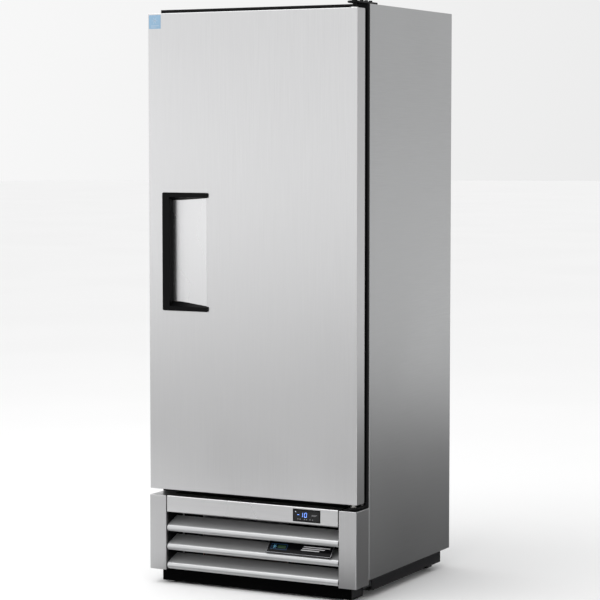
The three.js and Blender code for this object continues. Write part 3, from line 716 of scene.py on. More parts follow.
def breaker_frame():
    """Four black strips round the mouth."""
    for name, side in SIDES:
        section = strip_section(strip_high.x - strip_low.x, 3)
        outline = [(side * (strip_low.x + u), v) for u, v in section]
        strip = Shape().prism(outline, "z", strip_low.z, strip_high.z)
        strip.finish(f"mouth_strip_{name}", black_plastic, node=f"breaker_strip_{name}")
    for name, up in (("top", 1), ("bottom", -1)):
        low, high = box(f"breaker_strip_{name}")
        start = low.z if up > 0 else high.z
        outline = [(v, start + up * u) for u, v in strip_section(high.z - low.z, 1.5)]
        strip = Shape().prism(outline, "x", low.x, high.x)
        strip.finish(f"mouth_strip_{name}", black_plastic, node=f"breaker_strip_{name}")


def cabin_liner():
    """Inner tank with coved corners all round."""
    cove = 14

    def ring(inset, y):
        left, right = cabin_low.x + inset, cabin_high.x - inset
        bottom, top = cabin_low.z + inset, cabin_high.z - inset
        return at_depth(rectangle(left, right, bottom, top, max(cove - inset, 1), 5), y)

    rings = [ring(0, liner_low.y)]
    for k in range(7):
        angle = math.radians(15 * k)
        rings.append(ring(cove * 0.92 * (1 - math.cos(angle)), cabin_high.y - cove + cove * math.sin(angle)))
    tank = Shape().rings(rings, cap_first=False)
    fold_sheet(tank.finish("cabin_liner", liner_sheet, node="interior_liner", crease=50), LINER, 1)


def floor_tray():
    """Stainless floor with coved, upturned edges at the sides and back."""
    low, high = box("floor_pan")
    cove, clearance = 11, 0.3
    levels = [(0, high.z - low.z)]
    for degrees in (90, 68, 45, 22, 0):
        angle = math.radians(degrees)
        levels.append((cove * (1 - math.sin(angle)), cove * (1 - math.cos(angle))))
    tray = Shape()
    rings = []
    for inset, rise in levels:
        inset += clearance
        left, right, back, z = low.x + inset, high.x - inset, high.y - inset, low.z + LINER + rise
        corners = ((left, low.y, z), (right, low.y, z), (right, back, z), (left, back, z))
        rings.append([tray.mesh.verts.new(corner) for corner in corners])
    for ring, following in zip(rings, rings[1:]):
        for i, j in ((1, 2), (2, 3), (3, 0)):
            tray.mesh.faces.new((ring[i], ring[j], following[j], following[i]))
    tray.mesh.faces.new(rings[-1])
    fold_sheet(tray.finish("floor_tray", stainless_across, node="floor_pan", crease=50), 0.8)


def hidden_fill():
    """CAD nodes that stay as they are and only need their finish."""
    for node, material in (
            ("cabinet_foam", foam_fill), ("deck_plate", galvanised),
            ("door_closer", zinc), ("controller_body", black_plastic)):
        data = frame["nodes"][node].data
        data.materials.clear()
        data.materials.append(material)


# ---- Base and feet -------------------------------------------------------------------------
def base_rails():
    """Folded channel rails, notched in their lower edge."""
    for name, side in SIDES:
        node = f"base_rail_{name}"
        low, high = box(node)
        outer = high.x if side > 0 else -low.x
        inner = outer - (high.x - low.x)
        path = filleted([(inner, low.z), (outer, low.z), (outer, high.z), (inner, high.z)], 2.4)
        channel = Shape().prism(mirrored(thickened(path, 2), side), "y", low.y, high.y)
        piece = channel.finish(f"rail_{name}", rail_paint, node=node)
        notches = Shape()
        for start, end in ((-1, 11.7), (337.7, 363.7)):
            near, far = side * (outer - 9), side * (outer + 1)
            notches.box((near, low.y + start, low.z - 1), (far, low.y + end, low.z + 4))
        cut(piece, notches, crease=32)


def crossmembers():
    """Open channels across the base, each end closed by a plate."""
    for name in ("front", "rear"):
        low, high = box(f"crossmember_{name}")
        path = filleted([(low.y, high.z), (low.y, low.z), (high.y, low.z), (high.y, high.z)], 2.6, 5)
        channel = Shape().prism(thickened(path, 2), "x", low.x, high.x)
        piece = channel.finish(f"cross_channel_{name}", base_paint, node=f"crossmember_{name}")
        holes = Shape()
        for hand, _ in SIDES:
            foot = middle(f"foot_{name}_{hand}")
            holes.turned([(5.4, low.z - 1), (5.4, low.z + 5)], (foot.x, foot.y, 0), "z", 20)
        cut(piece, holes, crease=32)
        plates = Shape()
        for near, far in ((low.x, low.x + 1.5), (high.x - 1.5, high.x)):
            plates.box((near, low.y + 2.2, low.z + 2.2), (far, high.y - 2.2, high.z))
        plates.finish(f"cross_ends_{name}", rail_paint)


def levelling_feet():
    """Low pads: a round sole under a hexagonal base with a threaded stud; the nut is on the cabinet."""
    pitch, core, crest = 1.6, 4.1, 4.8
    for end in ("front", "rear"):
        beam = box(f"crossmember_{end}")[0].z
        for hand, _ in SIDES:
            node = f"foot_{end}_{hand}"
            foot, top = middle(node), box(node)[1].z
            centre = (foot.x, foot.y, 0)
            thread = [(core, 4)]
            for k in range(int((top - 7) / pitch)):
                z = 5.2 + k * pitch
                thread += [(core, z), (crest, z + 0.4), (crest, z + 0.7), (core, z + 1.1)]
            thread += [(core, top - 1), (3.2, top)]
            metal = Shape().turned([(11.6, 1.6), (12, 2), (12, 3.8), (11.2, 4.3)], centre, "z", 6)
            metal.turned(thread, centre, "z", 16).finish(f"{node}_turned", zinc, node, node, crease=40)
            sole = Shape().turned([(10, 0), (10.5, 0.3), (10.5, 1.7)], centre, "z", 32)
            sole.finish(f"{node}_pad", black_plastic, node, crease=40)
            section = [(5.8, 0), (8.5, 0), (8.5, 6), (5.8, 6)]
            nut = Shape().turned(section, (foot.x, foot.y, beam + 2.2), "z", 6, bore=True)
            nut.finish(f"{node}_nut", zinc, crease=25)


# ---- Grille --------------------------------------------------------------------------------
header_low, header_high = box("grille_header")


def grille_posts():
    """Folded posts with soft vertical edges and a closed top."""
    for name, _ in SIDES:
        node = f"grille_post_{name}"
        low, high = box(node)

        def soft(a, b):
            upright = max(a.y, b.y) < low.y + TINY and abs(a.z - b.z) > TINY
            return upright or (min(a.z, b.z) > high.z - TINY and min(a.y, b.y) < high.y - TINY)

        post = Shape().box(low, high).soften(1.8, soft)
        post.without(lambda p: p.y > high.y - TINY).without(lambda p: p.z < low.z + TINY)
        fold_sheet(post.finish(f"post_{name}", post_steel, node=node), SHEET)


def grille_header():
    """Header pan with rolled top and bottom edges and a window for the controller."""
    low, high = header_low, header_high
    path = filleted([(high.y, high.z), (low.y, high.z), (low.y, low.z), (high.y, low.z)], 3.2, 6)
    pan = Shape().prism(thickened(path, SHEET), "x", low.x, high.x)
    piece = pan.finish("header", stainless_across, node="grille_header", weighted=False)
    body_low, body_high = box("controller_body")
    outline = rectangle(body_low.x, body_high.x, body_low.z, body_high.z, 1.5)
    cut(piece, Shape().prism(outline, "y", low.y - 5, low.y + 8), crease=32)
    weigh_normals(piece)


def louvers():
    """Bullnosed louvers: one bent sheet each, with a return under the nose."""
    radius, slope = 10, 21
    for name in ("top", "middle", "bottom"):
        node = f"louver_{name}"
        low, high = box(node)
        centre = (low.y + radius, low.z + radius)
        nose = arc(centre, radius, -90, slope - 270, 18)
        start = Vector((centre[0] + 5, centre[1] - radius))
        rise = (high.y - nose[-1].x) * math.tan(math.radians(slope))
        path = [start] + nose + [Vector((high.y, nose[-1].y + rise))]
        outline = [(u, min(v, high.z)) for u, v in thickened(path, -SHEET)]
        louver = Shape().prism(outline, "x", low.x, high.x)
        louver.finish(f"louver_{name}_sheet", louver_satin, node=node, crease=24)


def grille_cheeks():
    """Black side walls that close the space behind the louvers."""
    bottom = box("crossmember_front")[1].z + 1
    walls = Shape()
    for _, side in SIDES:
        far = (side * 263.7, header_low.y + 84, header_low.z - 0.5)
        walls.box((side * 261.8, header_low.y + 10, bottom), far)
    walls.finish("grille_cheeks", black_plastic, bevel=0.4, segments=2)


def air_baffle():
    """Black sheet behind the louvers that leaves only the condenser's face open, with a lid over it."""
    coil_low, coil_high = box("condenser_coil")
    front = coil_low.y - 7
    back = front + SHEET
    bottom, top = box("unit_base")[0].z + 3.5, box("deck_plate")[0].z - 1.5
    half, left, right = 262, -204, 64
    baffle = Shape().box((-half, front, bottom), (left, back, top))
    baffle.box((right, front, bottom), (half, back, top))
    baffle.box((left, front, coil_high.z - 2), (right, back, top))
    baffle.box((-half, header_high.y + 1, top), (half, back, top + SHEET))
    baffle.finish("air_baffle", black_plastic, bevel=0.2, segments=2)


def controller_front():
    """Glossy window with lit digits, a row of small key marks and a plain bezel."""
    low, high = box("controller_window")
    window = Shape().box(low, high)
    window.finish("controller_bezel_window", gloss_black, node="controller_window", bevel=0.6)
    face = low.y - 0.12
    back = face + 0.1
    centre_z = (low.z + high.z) / 2
    width = high.x - low.x
    digit_height, digit_width, stroke, lean = 11.5, 6.4, 1.25, 0.12
    lit = Shape()

    def bar(x0, z0, x1, z1):
        """A segment between two points with pointed ends, leaning with its digit."""
        start, end = Vector((x0, z0)), Vector((x1, z1))
        tip = (end - start).normalized() * stroke / 2
        across = Vector((-tip.y, tip.x))
        outline = [
            start, start + tip + across, end - tip + across, end, end - tip - across, start + tip - across]
        lit.prism([(u + (v - centre_z) * lean, v) for u, v in outline], "y", face - 0.1, back)

    def digit(x, segments):
        middle_z = centre_z + 1.6
        top, bottom = middle_z + digit_height / 2, middle_z - digit_height / 2
        right = x + digit_width
        edges = {
            "a": (x, top, right, top), "b": (right, top, right, middle_z),
            "c": (right, middle_z, right, bottom), "d": (x, bottom, right, bottom),
            "e": (x, middle_z, x, bottom), "f": (x, top, x, middle_z), "g": (x, middle_z, right, middle_z)}
        for segment in segments:
            bar(*edges[segment])

    start = low.x + 0.13 * width
    digit(start, "g")
    digit(start + 9.5, "bc")
    digit(start + 21.5, "abcdef")
    lit.finish("display_digits", digit_blue, crease=30, weighted=False)

    mark_front = face - 0.08
    marks = Shape()
    for k, share in enumerate((0.16, 0.25, 0.42, 0.50, 0.64, 0.74)):
        x, z = low.x + share * width, low.z + 4.2
        if k % 2:
            marks.box((x - 1.4, mark_front, z - 0.9), (x + 1.4, back, z + 0.9))
        else:
            marks.turned([(1.3, -0.08), (1.3, 0.1)], (x, face, z), "y", 12)
    for row in range(2):
        z = centre_z + 2.4 - row * 2.6
        end = low.x + (0.92 - 0.05 * row) * width
        marks.box((low.x + 0.70 * width, mark_front, z), (end, back, z + 0.9))
    marks.finish("display_marks", silver_print, crease=30, weighted=False)
    dot = Shape().turned([(0.8, -0.08), (0.8, 0.1)], (low.x + 5, face, high.z - 5), "y", 12)
    dot.finish("display_lamp", lamp_dot, crease=30, weighted=False)


def badge():
    """Blank nameplate: a black plate with a raised silver edge, a snowflake panel and plain bars."""
    low, high = box("nameplate")
    margin, base = 1.2, 0.4
    half_length = ((high - low).yz.length - margin) / 2
    half_width = (high.x - low.x) / 2
    tilt = math.atan2(high.z - low.z - margin, high.y - low.y - margin)
    on_header = Matrix.Translation(middle("nameplate")) @ Matrix.Rotation(tilt, 4, "X")

    def fasten(shape, name, material, node=None, crease=30, bevel=0):
        bmesh.ops.transform(shape.mesh, verts=shape.mesh.verts, matrix=on_header)
        shape.finish(name, material, node=node, crease=crease, bevel=bevel)

    def raised_line(left, right, half, width, corners, height):
        """A closed line that stands up from the plate between two rounded rectangles."""
        outer = rectangle(left, right, -half, half, corners[0])
        inner = rectangle(left + width, right - width, width - half, half - width, corners[1])
        levels = ((outer, base), (outer, height), (inner, height), (inner, base))
        return Shape().rings([[(u, v, z) for u, v in line] for line, z in levels], closed=True)

    outline = rectangle(-half_width, half_width, -half_length, half_length, 1.5)
    fasten(Shape().prism(outline, "z", -0.7, 0.5), "badge_plate", plate_black, "nameplate", bevel=0.25)
    edge_x, edge_y = half_width - margin, half_length - margin
    fasten(raised_line(-edge_x, edge_x, edge_y, 0.8, (1.2, 0.9), 0.9), "badge_edge", silver_print)
    left = 11 - half_width
    right = left + 48
    fasten(raised_line(left, right, 8.5, 0.9, (1.5, 1), 0.7), "badge_panel", print_blue)
    flake = Shape()
    for k in range(3):
        turn = Matrix.Translation((left + 10.5, 0, 0)) @ Matrix.Rotation(math.radians(60 * k), 4, "Z")
        flake.box((-6, -0.6, base), (6, 0.6, 0.75), turn)
    fasten(flake, "badge_flake", print_sky)
    outline = rectangle(left + 20, right - 4, -4.5, 4.5, 0.8)
    fasten(Shape().prism(outline, "z", base, 0.65), "badge_green", print_green)
    bars = Shape()
    for k, reach in enumerate((78, 66, 54)):
        y = 6 - k * 5.5
        start = half_width - 92 + y * 0.45
        end = start + reach
        bars.prism([(start, y), (end, y), (end + 1.2, y + 2.6), (start + 1.2, y + 2.6)], "z", base, 0.8)
    fasten(bars, "badge_bars", bright_print)


# ---- Hinges --------------------------------------------------------------------------------
def hinge_brackets():
    """Softened plates with their pins, spring washers and bolts."""
    axis = (pin.x, pin.y, 0)
    thickness = 5
    low, high = box("top_hinge_bracket")
    plate_low = box("side_panel_right")[1].z + GAP
    plate_top = plate_low + thickness
    outline = filleted(
        [(low.x + 4, low.y + 8), (pin.x - 7, low.y), (pin.x + 8, low.y), (high.x, low.y + 7),
         (high.x, high.y), (low.x, high.y), (low.x, low.y + 20)],
        [5, 5, 5, 6, 8, 8, 6], 5, closed=True)
    plate = Shape().prism(outline, "z", plate_low, plate_top)
    plate.finish("top_hinge_plate", black_paint, node="top_hinge_bracket", bevel=0.8)
    cap = [(7.4, plate_top - 0.2), (7.4, high.z - 1.5), (6.2, high.z - 0.2), (0, high.z - 0.2)]
    shaft = Shape().turned([(5, skin_high.z - 22), (5, plate_low + 0.2)], axis).turned(cap, axis)
    shaft.finish("top_hinge_pin", black_paint, crease=40)
    bolts = Shape()
    for y in (high.y - 12, high.y - 38, high.y - 64):
        x = (low.x + high.x) / 2
        bolts.turned([(7.5, 0), (7.5, 1.2), (5, 1.2)], (x, y, plate_top), "z", 20)
        bolts.hexagon((x, y, plate_top + 1.2), 5.6, 4.2)
    bolts.finish("top_hinge_bolts", black_paint, crease=25)

    low, high = box("bottom_hinge_bracket")
    plate_top = low.z + thickness
    outline = filleted(
        [(low.x + 16, low.y + 6), (pin.x - 6, low.y), (pin.x + 8, low.y), (high.x - 2, low.y + 8),
         (high.x, high.y - 4), (low.x, high.y - 4), (low.x, high.y - 14)],
        [5, 5, 5, 8, 1, 1, 8], 5, closed=True)
    plate = Shape().prism(outline, "z", low.z, plate_top)
    plate.box((low.x, high.y - 4, low.z), (high.x, high.y, low.z + 12))
    plate.finish("bottom_hinge_plate", black_paint, node="bottom_hinge_bracket", bevel=0.6)
    collar = [(9, plate_top), (9, plate_top + 1.4), (5, plate_top + 1.4), (5, high.z)]
    shaft = Shape().turned(collar, axis)
    for x in (low.x + 10, high.x - 10):
        head = [(4.2, high.y - 4.2), (3.8, high.y - 6.4), (0, high.y - 6.6)]
        shaft.turned(head, (x, 0, low.z + 8.5), "y", 16)
    shaft.finish("bottom_hinge_pin", zinc, crease=40)


# ---- Cabin fittings ------------------------------------------------------------------------
PILASTERS = [(f"pilaster_{end}_{hand}", side) for end in ("front", "rear") for hand, side in SIDES]
SHELVES = ("lower", "middle", "upper")


def pilasters():
    """Slotted channel strips: raised centre with a ladder of slots, flat edges screwed to the liner."""
    pitch = 12.7
    for node, side in PILASTERS:
        low, high = box(node)
        wall = high.x if side > 0 else -low.x
        centre = (low.y + high.y) / 2
        half = (high.y - low.y) / 2
        crest = wall - (high.x - low.x)
        flank = [(wall, half), (wall - 1, half), (wall - 1, half - 3.2), (crest, half - 4.6)]
        path = [(u, centre - v) for u, v in flank] + [(u, centre + v) for u, v in flank[::-1]]
        strip = Shape().prism(mirrored(path, side), "z", low.z, high.z)
        piece = strip.finish(f"{node}_strip", liner_sheet, node=node, weighted=False)
        slots = Shape()
        for k in range(int((high.z - low.z - 20) / pitch)):
            z = low.z + 12 + k * pitch
            near, far = side * (crest - 1), side * (wall - 2.2)
            slots.box((near, centre - 2.6, z), (far, centre + 2.6, z + 4.6))
        cut(piece, slots, crease=20)


def shelf_clips():
    """Bent steel clips hooked into the pilasters, four to a shelf."""
    clips = Shape()
    profile = [
        (2.5, 6), (-0.2, 8), (-0.2, 0), (-15, 0), (-16.5, 4), (-18, 4), (-17, -2), (-3, -2), (-0.2, -9),
        (2.5, -7)]
    for shelf in SHELVES:
        top = box(f"shelf_{shelf}")[0].z - 0.2
        for node, side in PILASTERS:
            low, high = box(node)
            face = low.x if side > 0 else -high.x
            centre = (low.y + high.y) / 2
            outline = [(side * (face + u), top + v) for u, v in profile]
            clips.prism(outline, "y", centre - 5, centre + 5)
    clips.finish("shelf_clips", zinc, crease=25, weighted=False)


def wire_shelves():
    """Coated wire shelves: a heavy rim, two braces and fine wires with turned-down ends."""
    rim, wire, count = 3, 1.6, 30
    for name in SHELVES:
        node = f"shelf_{name}"
        low, high = box(node)
        z_rim, z_wire, z_end = low.z + rim, high.z - wire, low.z + 1
        left, right, front, back = low.x + rim, high.x - rim, low.y + rim, high.y - rim
        corners = [(left, front, z_rim), (right, front, z_rim), (right, back, z_rim), (left, back, z_rim)]
        loop = filleted(corners, 12, 6, closed=True)
        wires(f"{node}_rim", [loop], rim, shelf_coat, node, node, cyclic=True, sides=4)
        rows = [low.y + (high.y - low.y) * t for t in (0.33, 0.67)]
        wires(f"{node}_braces", [[(left, y, z_rim), (right, y, z_rim)] for y in rows], 2.4, shelf_coat, node)
        paths = []
        for k in range(count):
            x = low.x + (high.x - low.x) * (k + 1) / (count + 1)
            path = [
                (x, low.y + 0.8, z_end), (x, low.y + 1.4, z_wire), (x, high.y - 1.4, z_wire),
                (x, high.y - 0.8, z_end)]
            paths.append(filleted(path, 2.2, 3))
        wires(f"{node}_wires", paths, wire, shelf_coat, node, sides=2)


def ceiling_lamp():
    low, high = box("lamp_housing")
    case = Shape().box(low, high)
    case.finish("lamp_case", white_plastic, node="lamp_housing", bevel=2.5, segments=4)
    low, high = box("lamp_lens")
    curve = arc(((low.y + high.y) / 2, low.z + 30), 32, 270 - 28, 270 + 28, 14)
    cover = Shape().prism([(low.y, high.z), *curve, (high.y, high.z)], "x", low.x, high.x)
    cover.finish("lamp_cover", lamp_diffuser, node="lamp_lens")


# ---- Coils and fans ------------------------------------------------------------------------
def fin_pack(node, spacing, tube_rows, side_plate):
    """Finned coil: many thin fins between two side plates, with two columns of tubes and their bends."""
    low, high = box(node)
    left, right = low.x + side_plate, high.x - side_plate
    fins = Shape()
    count = int((right - left) / spacing)
    for k in range(count + 1):
        x = left + (right - left) * k / count
        half = 0.45 if k in (0, count) else 0.125
        fins.box((x - half, low.y, low.z), (x + half, high.y, high.z))
    fins.finish(f"{node}_fins", fin_sheet, node=node, weighted=False)
    paths = []
    step_z = (high.z - low.z) / tube_rows
    step_y = (high.y - low.y) / 2
    for column in range(2):
        y = low.y + step_y * (column + 0.5)
        for row in range(tube_rows):
            z = low.z + step_z * (row + 0.5)
            paths.append([(left - 3, y, z), (right + 3, y, z)])
            if row + 1 < tube_rows:
                at_right = (row + column) % 2
                x = right + 3 if at_right else left - 3
                end = x + (side_plate - 4) * (1 if at_right else -1)
                loop = [(x, y, z), (end, y, z), (end, y, z + step_z), (x, y, z + step_z)]
                paths.append(filleted(loop, step_z / 2, 5))
    wires(f"{node}_tubes", paths, 4, copper, sides=2)


def evaporator_case():
    """Folded aluminium case with a round fan opening, vents below and a finger guard."""
    low, high = box("evaporator_cover")
    fan_low, fan_high = box("evaporator_fan")
    fan = middle("evaporator_fan")
    axis = (fan.x, 0, fan.z)
    opening = (fan_high.z - fan_low.z) / 2 + 3
    path = [(high.y, low.z), (low.y, low.z), (low.y, high.z)]
    case = Shape().prism(thickened(filleted(path, [0, 10, 0], 6), -1), "x", low.x, high.x)
    for x in (low.x, high.x - 1):
        outline = filleted(path + [(high.y, high.z)], [0, 10, 0, 0], 6)
        case.prism(outline, "x", x, x + 1)
    piece = case.finish("evaporator_case", liner_sheet, node="evaporator_cover", weighted=False)
    holes = Shape().turned([(opening, low.y - 9), (opening, low.y + 9)], axis, "y", 48)
    for k in range(12):
        y = low.y + 28 + k * 7.5
        for x in (-215, 95):
            holes.prism(rectangle(x, x + 120, y, y + 3.4, 1.6, 3), "z", low.z - 2, low.z + 4)
    cut(piece, holes, crease=25)
    section = [
        (opening, 0), (opening + 5, 0), (opening + 5, -1.6), (opening + 1.5, -2.4), (opening, -2)]
    rim = Shape().turned(section, (fan.x, low.y, fan.z), "y", 48, bore=True)
    rim.finish("fan_opening_rim", black_plastic, crease=40)

    bulge = 5
    rings = []
    for k in range(5):
        y = low.y - 3.2 - bulge * (1 - (k / 4) ** 2)
        rings.append(circle(fan, opening * (k + 1) / 5 + 1, y, 40))
    wires("finger_guard_rings", rings, 1.1, shelf_coat, cyclic=True, sides=2)
    spokes = []
    for j in range(4):
        angle = math.radians(45 + 90 * j)
        path = []
        for k in range(6):
            reach = opening * k / 5 + (k > 0)
            y = low.y - 1.6 - bulge * (1 - (max(k - 1, 0) / 4) ** 2)
            path.append((fan.x + reach * math.cos(angle), y, fan.z + reach * math.sin(angle)))
        spokes.append(path)
    wires("finger_guard_spokes", spokes, 1.3, shelf_coat, sides=2)
    corners = [(x, z) for x in (low.x + 12, high.x - 12) for z in (low.z + 22, high.z - 12)]
    pan_head_screws("evaporator_screws", [(x, low.y - 0.1, z) for x, z in corners], 3.4, facing=-1)


def shaft_line(fan_node):
    """Where a fan's shaft lies across Y."""
    joint = next(j for j in frame["joints"] if j["child"] == fan_node)
    return Vector(joint["pos_m"]) / MM


def fan_wheel(node):
    """Five swept, twisted blades on a domed hub with a bore for the shaft."""
    low, high = box(node)
    shaft = shaft_line(node)
    radius = (high.z - low.z) / 2 - 1
    depth = high.y - low.y
    hub, blades, span, chord = 16, 5, 8, 7
    profile = [
        (3.3, 0.4), (12, 0), (15, 2.5), (hub, 6), (hub, depth - 1), (13, depth - 1), (12, 6), (3.3, 6)]
    wheel = Shape().turned(profile, (shaft.x, low.y, shaft.z), "y", 32, bore=True)
    mesh = wheel.mesh
    limit = depth / 2 - 1.2
    for blade in range(blades):
        grid = []
        for i in range(span):
            t = i / (span - 1)
            r = hub - 0.5 + (radius - hub) * t
            half = math.radians(30 - 6 * t) * (0.75 + 0.25 * math.sin(math.pi * min(1, t * 1.2)))
            sweep = 2 * math.pi * blade / blades + math.radians(14) * t * t
            twist = math.tan(math.radians(38 - 16 * t)) * 0.62
            line = []
            for j in range(chord):
                s = 2 * j / (chord - 1) - 1
                angle = sweep + half * s
                lift = max(-limit, min(limit, r * half * s * twist))
                y = low.y + depth / 2 + lift + 0.8 * (1 - s * s)
                line.append(Vector((shaft.x + r * math.cos(angle), y, shaft.z + r * math.sin(angle))))
            grid.append(line)
        front = [[mesh.verts.new(p) for p in line] for line in grid]
        back = [[mesh.verts.new(p + Vector((0, 1.1, 0))) for p in line] for line in grid]
        for i in range(span - 1):
            for j in range(chord - 1):
                for layer, order in ((front, 1), (back, -1)):
                    quad = (layer[i][j], layer[i][j + 1], layer[i + 1][j + 1], layer[i + 1][j])
                    mesh.faces.new(quad[::order])
        rim = [(i, 0) for i in range(span)] + [(span - 1, j) for j in range(1, chord)]
        rim += [(i, chord - 1) for i in range(span - 2, -1, -1)] + [(0, j) for j in range(chord - 2, 0, -1)]
        for (a, b), (c, d) in zip(rim, rim[1:] + rim[:1]):
            mesh.faces.new((front[a][b], back[a][b], back[c][d], front[c][d]))
    wheel.finish(f"{node}_wheel", black_plastic, node, node, crease=45)


def fan_motor(node, fan_node, foot_up):
    """Shaded-pole motor: laminated stack, end cups, shaft, bracket."""
    low, high = box(node)
    shaft = shaft_line(fan_node)
    x, z = shaft.x, shaft.z
    axis = (x, 0, z)
    front, back = box(fan_node)[1].y + 4, high.y
    profile = [
        (6, front), (17, front + 1), (22, front + 6), (23, back - 8), (18, back - 2), (8, back)]
    Shape().turned(profile, axis, "y", 32).finish(f"{node}_cups", black_paint, node=node, crease=40)
    stack = Shape()
    sheets = 12
    pitch = (back - front - 26) / sheets
    for k in range(sheets):
        y = front + 12 + k * pitch
        stack.prism(rectangle(x - 23.5, x + 23.5, z - 23.5, z + 23.5, 4), "y", y, y + 0.7 * pitch)
    stack.finish(f"{node}_laminations", zinc, weighted=False)
    spindle = Shape().turned([(2.6, low.y), (3, low.y + 0.6), (3, front + 1)], axis, "y", 16)
    spindle.finish(f"{node}_shaft", zinc)
    near, far = front + 10, back - 10
    bracket = Shape()
    if foot_up:
        bracket.box((x - 10, near, z + 22), (x + 10, far, high.z))
    else:
        bracket.box((x - 9, near, low.z + 2), (x - 7, far, z - 20))
        bracket.box((x + 7, near, low.z + 2), (x + 9, far, z - 20))
        bracket.box((x - 10, near, low.z), (x + 10, far, low.z + 2))
    bracket.finish(f"{node}_bracket", galvanised, bevel=0.5, segments=2)


# ---- Condensing unit -----------------------------------------------------------------------
def compressor():
    """Hermetic shell with a welded seam, terminal cover, feet on grommets."""
    low, high = box("compressor")
    x, y, base = (low.x + high.x) / 2, (low.y + high.y) / 2, low.z
    radius = (high.x - low.x) / 2
    waist, shoulder = radius - 4, 90
    profile = [
        (0, 8), (40, 9), (62, 15), (radius - 9, 30), (waist, 48), (waist, 58), (radius - 0.5, 59),
        (radius - 0.5, 63), (waist, 64), (waist - 0.5, shoulder)]
    for k in range(1, 9):
        angle = math.radians(90 * k / 8)
        rise = (high.z - base - shoulder) * math.sin(angle)
        profile.append(((waist - 0.5) * math.cos(angle), shoulder + rise))
    shell = Shape().turned(profile, (x, y, base), "z", 48)
    shell.finish("compressor_shell", black_paint, node="compressor", crease=40)
    plate = rectangle(x - 78, x + 78, y - 60, y + 60, 16, 5)
    feet = Shape().prism(plate, "z", base + 6, base + 8.5)
    feet.finish("compressor_feet", black_paint, bevel=0.6, segments=2)
    rubbers, bolts = Shape(), Shape()
    for u in (x - 64, x + 64):
        for v in (y - 46, y + 46):
            rubbers.turned([(9, 0), (9.5, 2), (7, 4), (9.5, 5.8)], (u, v, base + 0.1), "z", 20)
            bolts.hexagon((u, v, base + 8.6), 5, 4)
    rubbers.finish("compressor_grommets", seal_rubber, crease=50)
    bolts.finish("compressor_bolts", zinc, crease=25)
    reach = radius * 0.3
    cover = Shape().box((x - reach, y - radius - 13, base + 66), (x + reach, y - radius * 0.9, base + 112))
    cover.finish("terminal_cover", black_plastic, bevel=3)
    return x, y, base, radius


def pipes(x, y, base, radius):
    """Discharge, liquid and suction lines between the compressor, coils and drier."""
    coil_low, coil_high = box("condenser_coil")
    centre_y = (coil_low.y + coil_high.y) / 2
    deck = box("deck_plate")[0].z
    run = deck - 12
    left, port, elbow = x - radius, y - 10, coil_high.x + 12
    discharge = [
        (left + 6, port, base + 84), (left - 14, port, base + 84), (left - 14, port, run),
        (elbow, coil_high.y + 20, run), (elbow, centre_y, run), (elbow, centre_y, coil_high.z - 24),
        (coil_high.x - 10, centre_y, coil_high.z - 24)]
    wires("discharge_pipe", [filleted(discharge, 12, 6)], 3.2, copper)
    drier_x, drier_y = coil_high.x + 60, coil_high.y + 40
    profile = [(3, 0), (4, 6), (9.5, 14), (9.5, 78), (4, 88), (3, 96)]
    drier = Shape().turned(profile, (drier_x, drier_y, base + 40))
    drier.finish("filter_drier", copper, crease=50)
    outlet = coil_low.z + 20
    liquid = [
        (coil_high.x - 10, coil_low.y + 12, outlet), (coil_high.x + 26, coil_low.y + 12, outlet),
        (drier_x, coil_low.y + 30, outlet), (drier_x, drier_y, outlet), (drier_x, drier_y, base + 42)]
    wires("liquid_pipe", [filleted(liquid, 10, 6)], 2.6, copper)
    coil = [(drier_x, drier_y, base + 134), (drier_x, drier_y, base + 146)]
    turns, steps, coil_radius = 4, 16, 26
    for k in range(turns * steps):
        angle = math.pi + 2 * math.pi * k / steps
        u, v = coil_radius * math.cos(angle), coil_radius * math.sin(angle)
        coil.append((drier_x + coil_radius + u, drier_y + v, base + 146 + k * 0.28))
    coil.append((drier_x, drier_y + 30, run + 6))
    wires("capillary", [coil], 1.1, copper, sides=2)
    right = x + radius
    suction = [
        (right - 6, y + 12, base + 80), (right + 16, y + 12, base + 80), (right + 16, y + 12, run),
        (right + 16, y + 110, run), (right + 16, y + 110, deck + 2)]
    wires("suction_pipe", [filleted(suction, 14, 6)], 5.2, copper)


def base_tray():
    low, high = box("unit_base")
    path = filleted([(low.x, high.z), (low.x, low.z), (high.x, low.z), (high.x, high.z)], 2.4)
    tray = Shape().prism(thickened(path, 1.6), "y", low.y, high.y)
    tray.box((low.x + 3, high.y - 1.6, low.z + 1.7), (high.x - 3, high.y, high.z))
    tray.finish("unit_tray", galvanised, node="unit_base")


def shroud():
    """Square collar between the condenser and its fan, with a round opening."""
    low, high = box("fan_shroud")
    fan_low, fan_high = box("condenser_fan")
    fan = middle("condenser_fan")
    opening = (fan_high.z - fan_low.z) / 2 + 3
    collar = Shape().box(low, (high.x, low.y + 24, high.z))
    piece = collar.finish("shroud", black_paint, node="fan_shroud", weighted=False)
    holes = Shape().box((low.x + 2, low.y - 5, low.z + 2), (high.x - 2, low.y + 22, high.z - 2))
    holes.turned([(opening, low.y - 9), (opening, low.y + 40)], (fan.x, 0, fan.z), "y", 48)
    cut(piece, holes, crease=25)


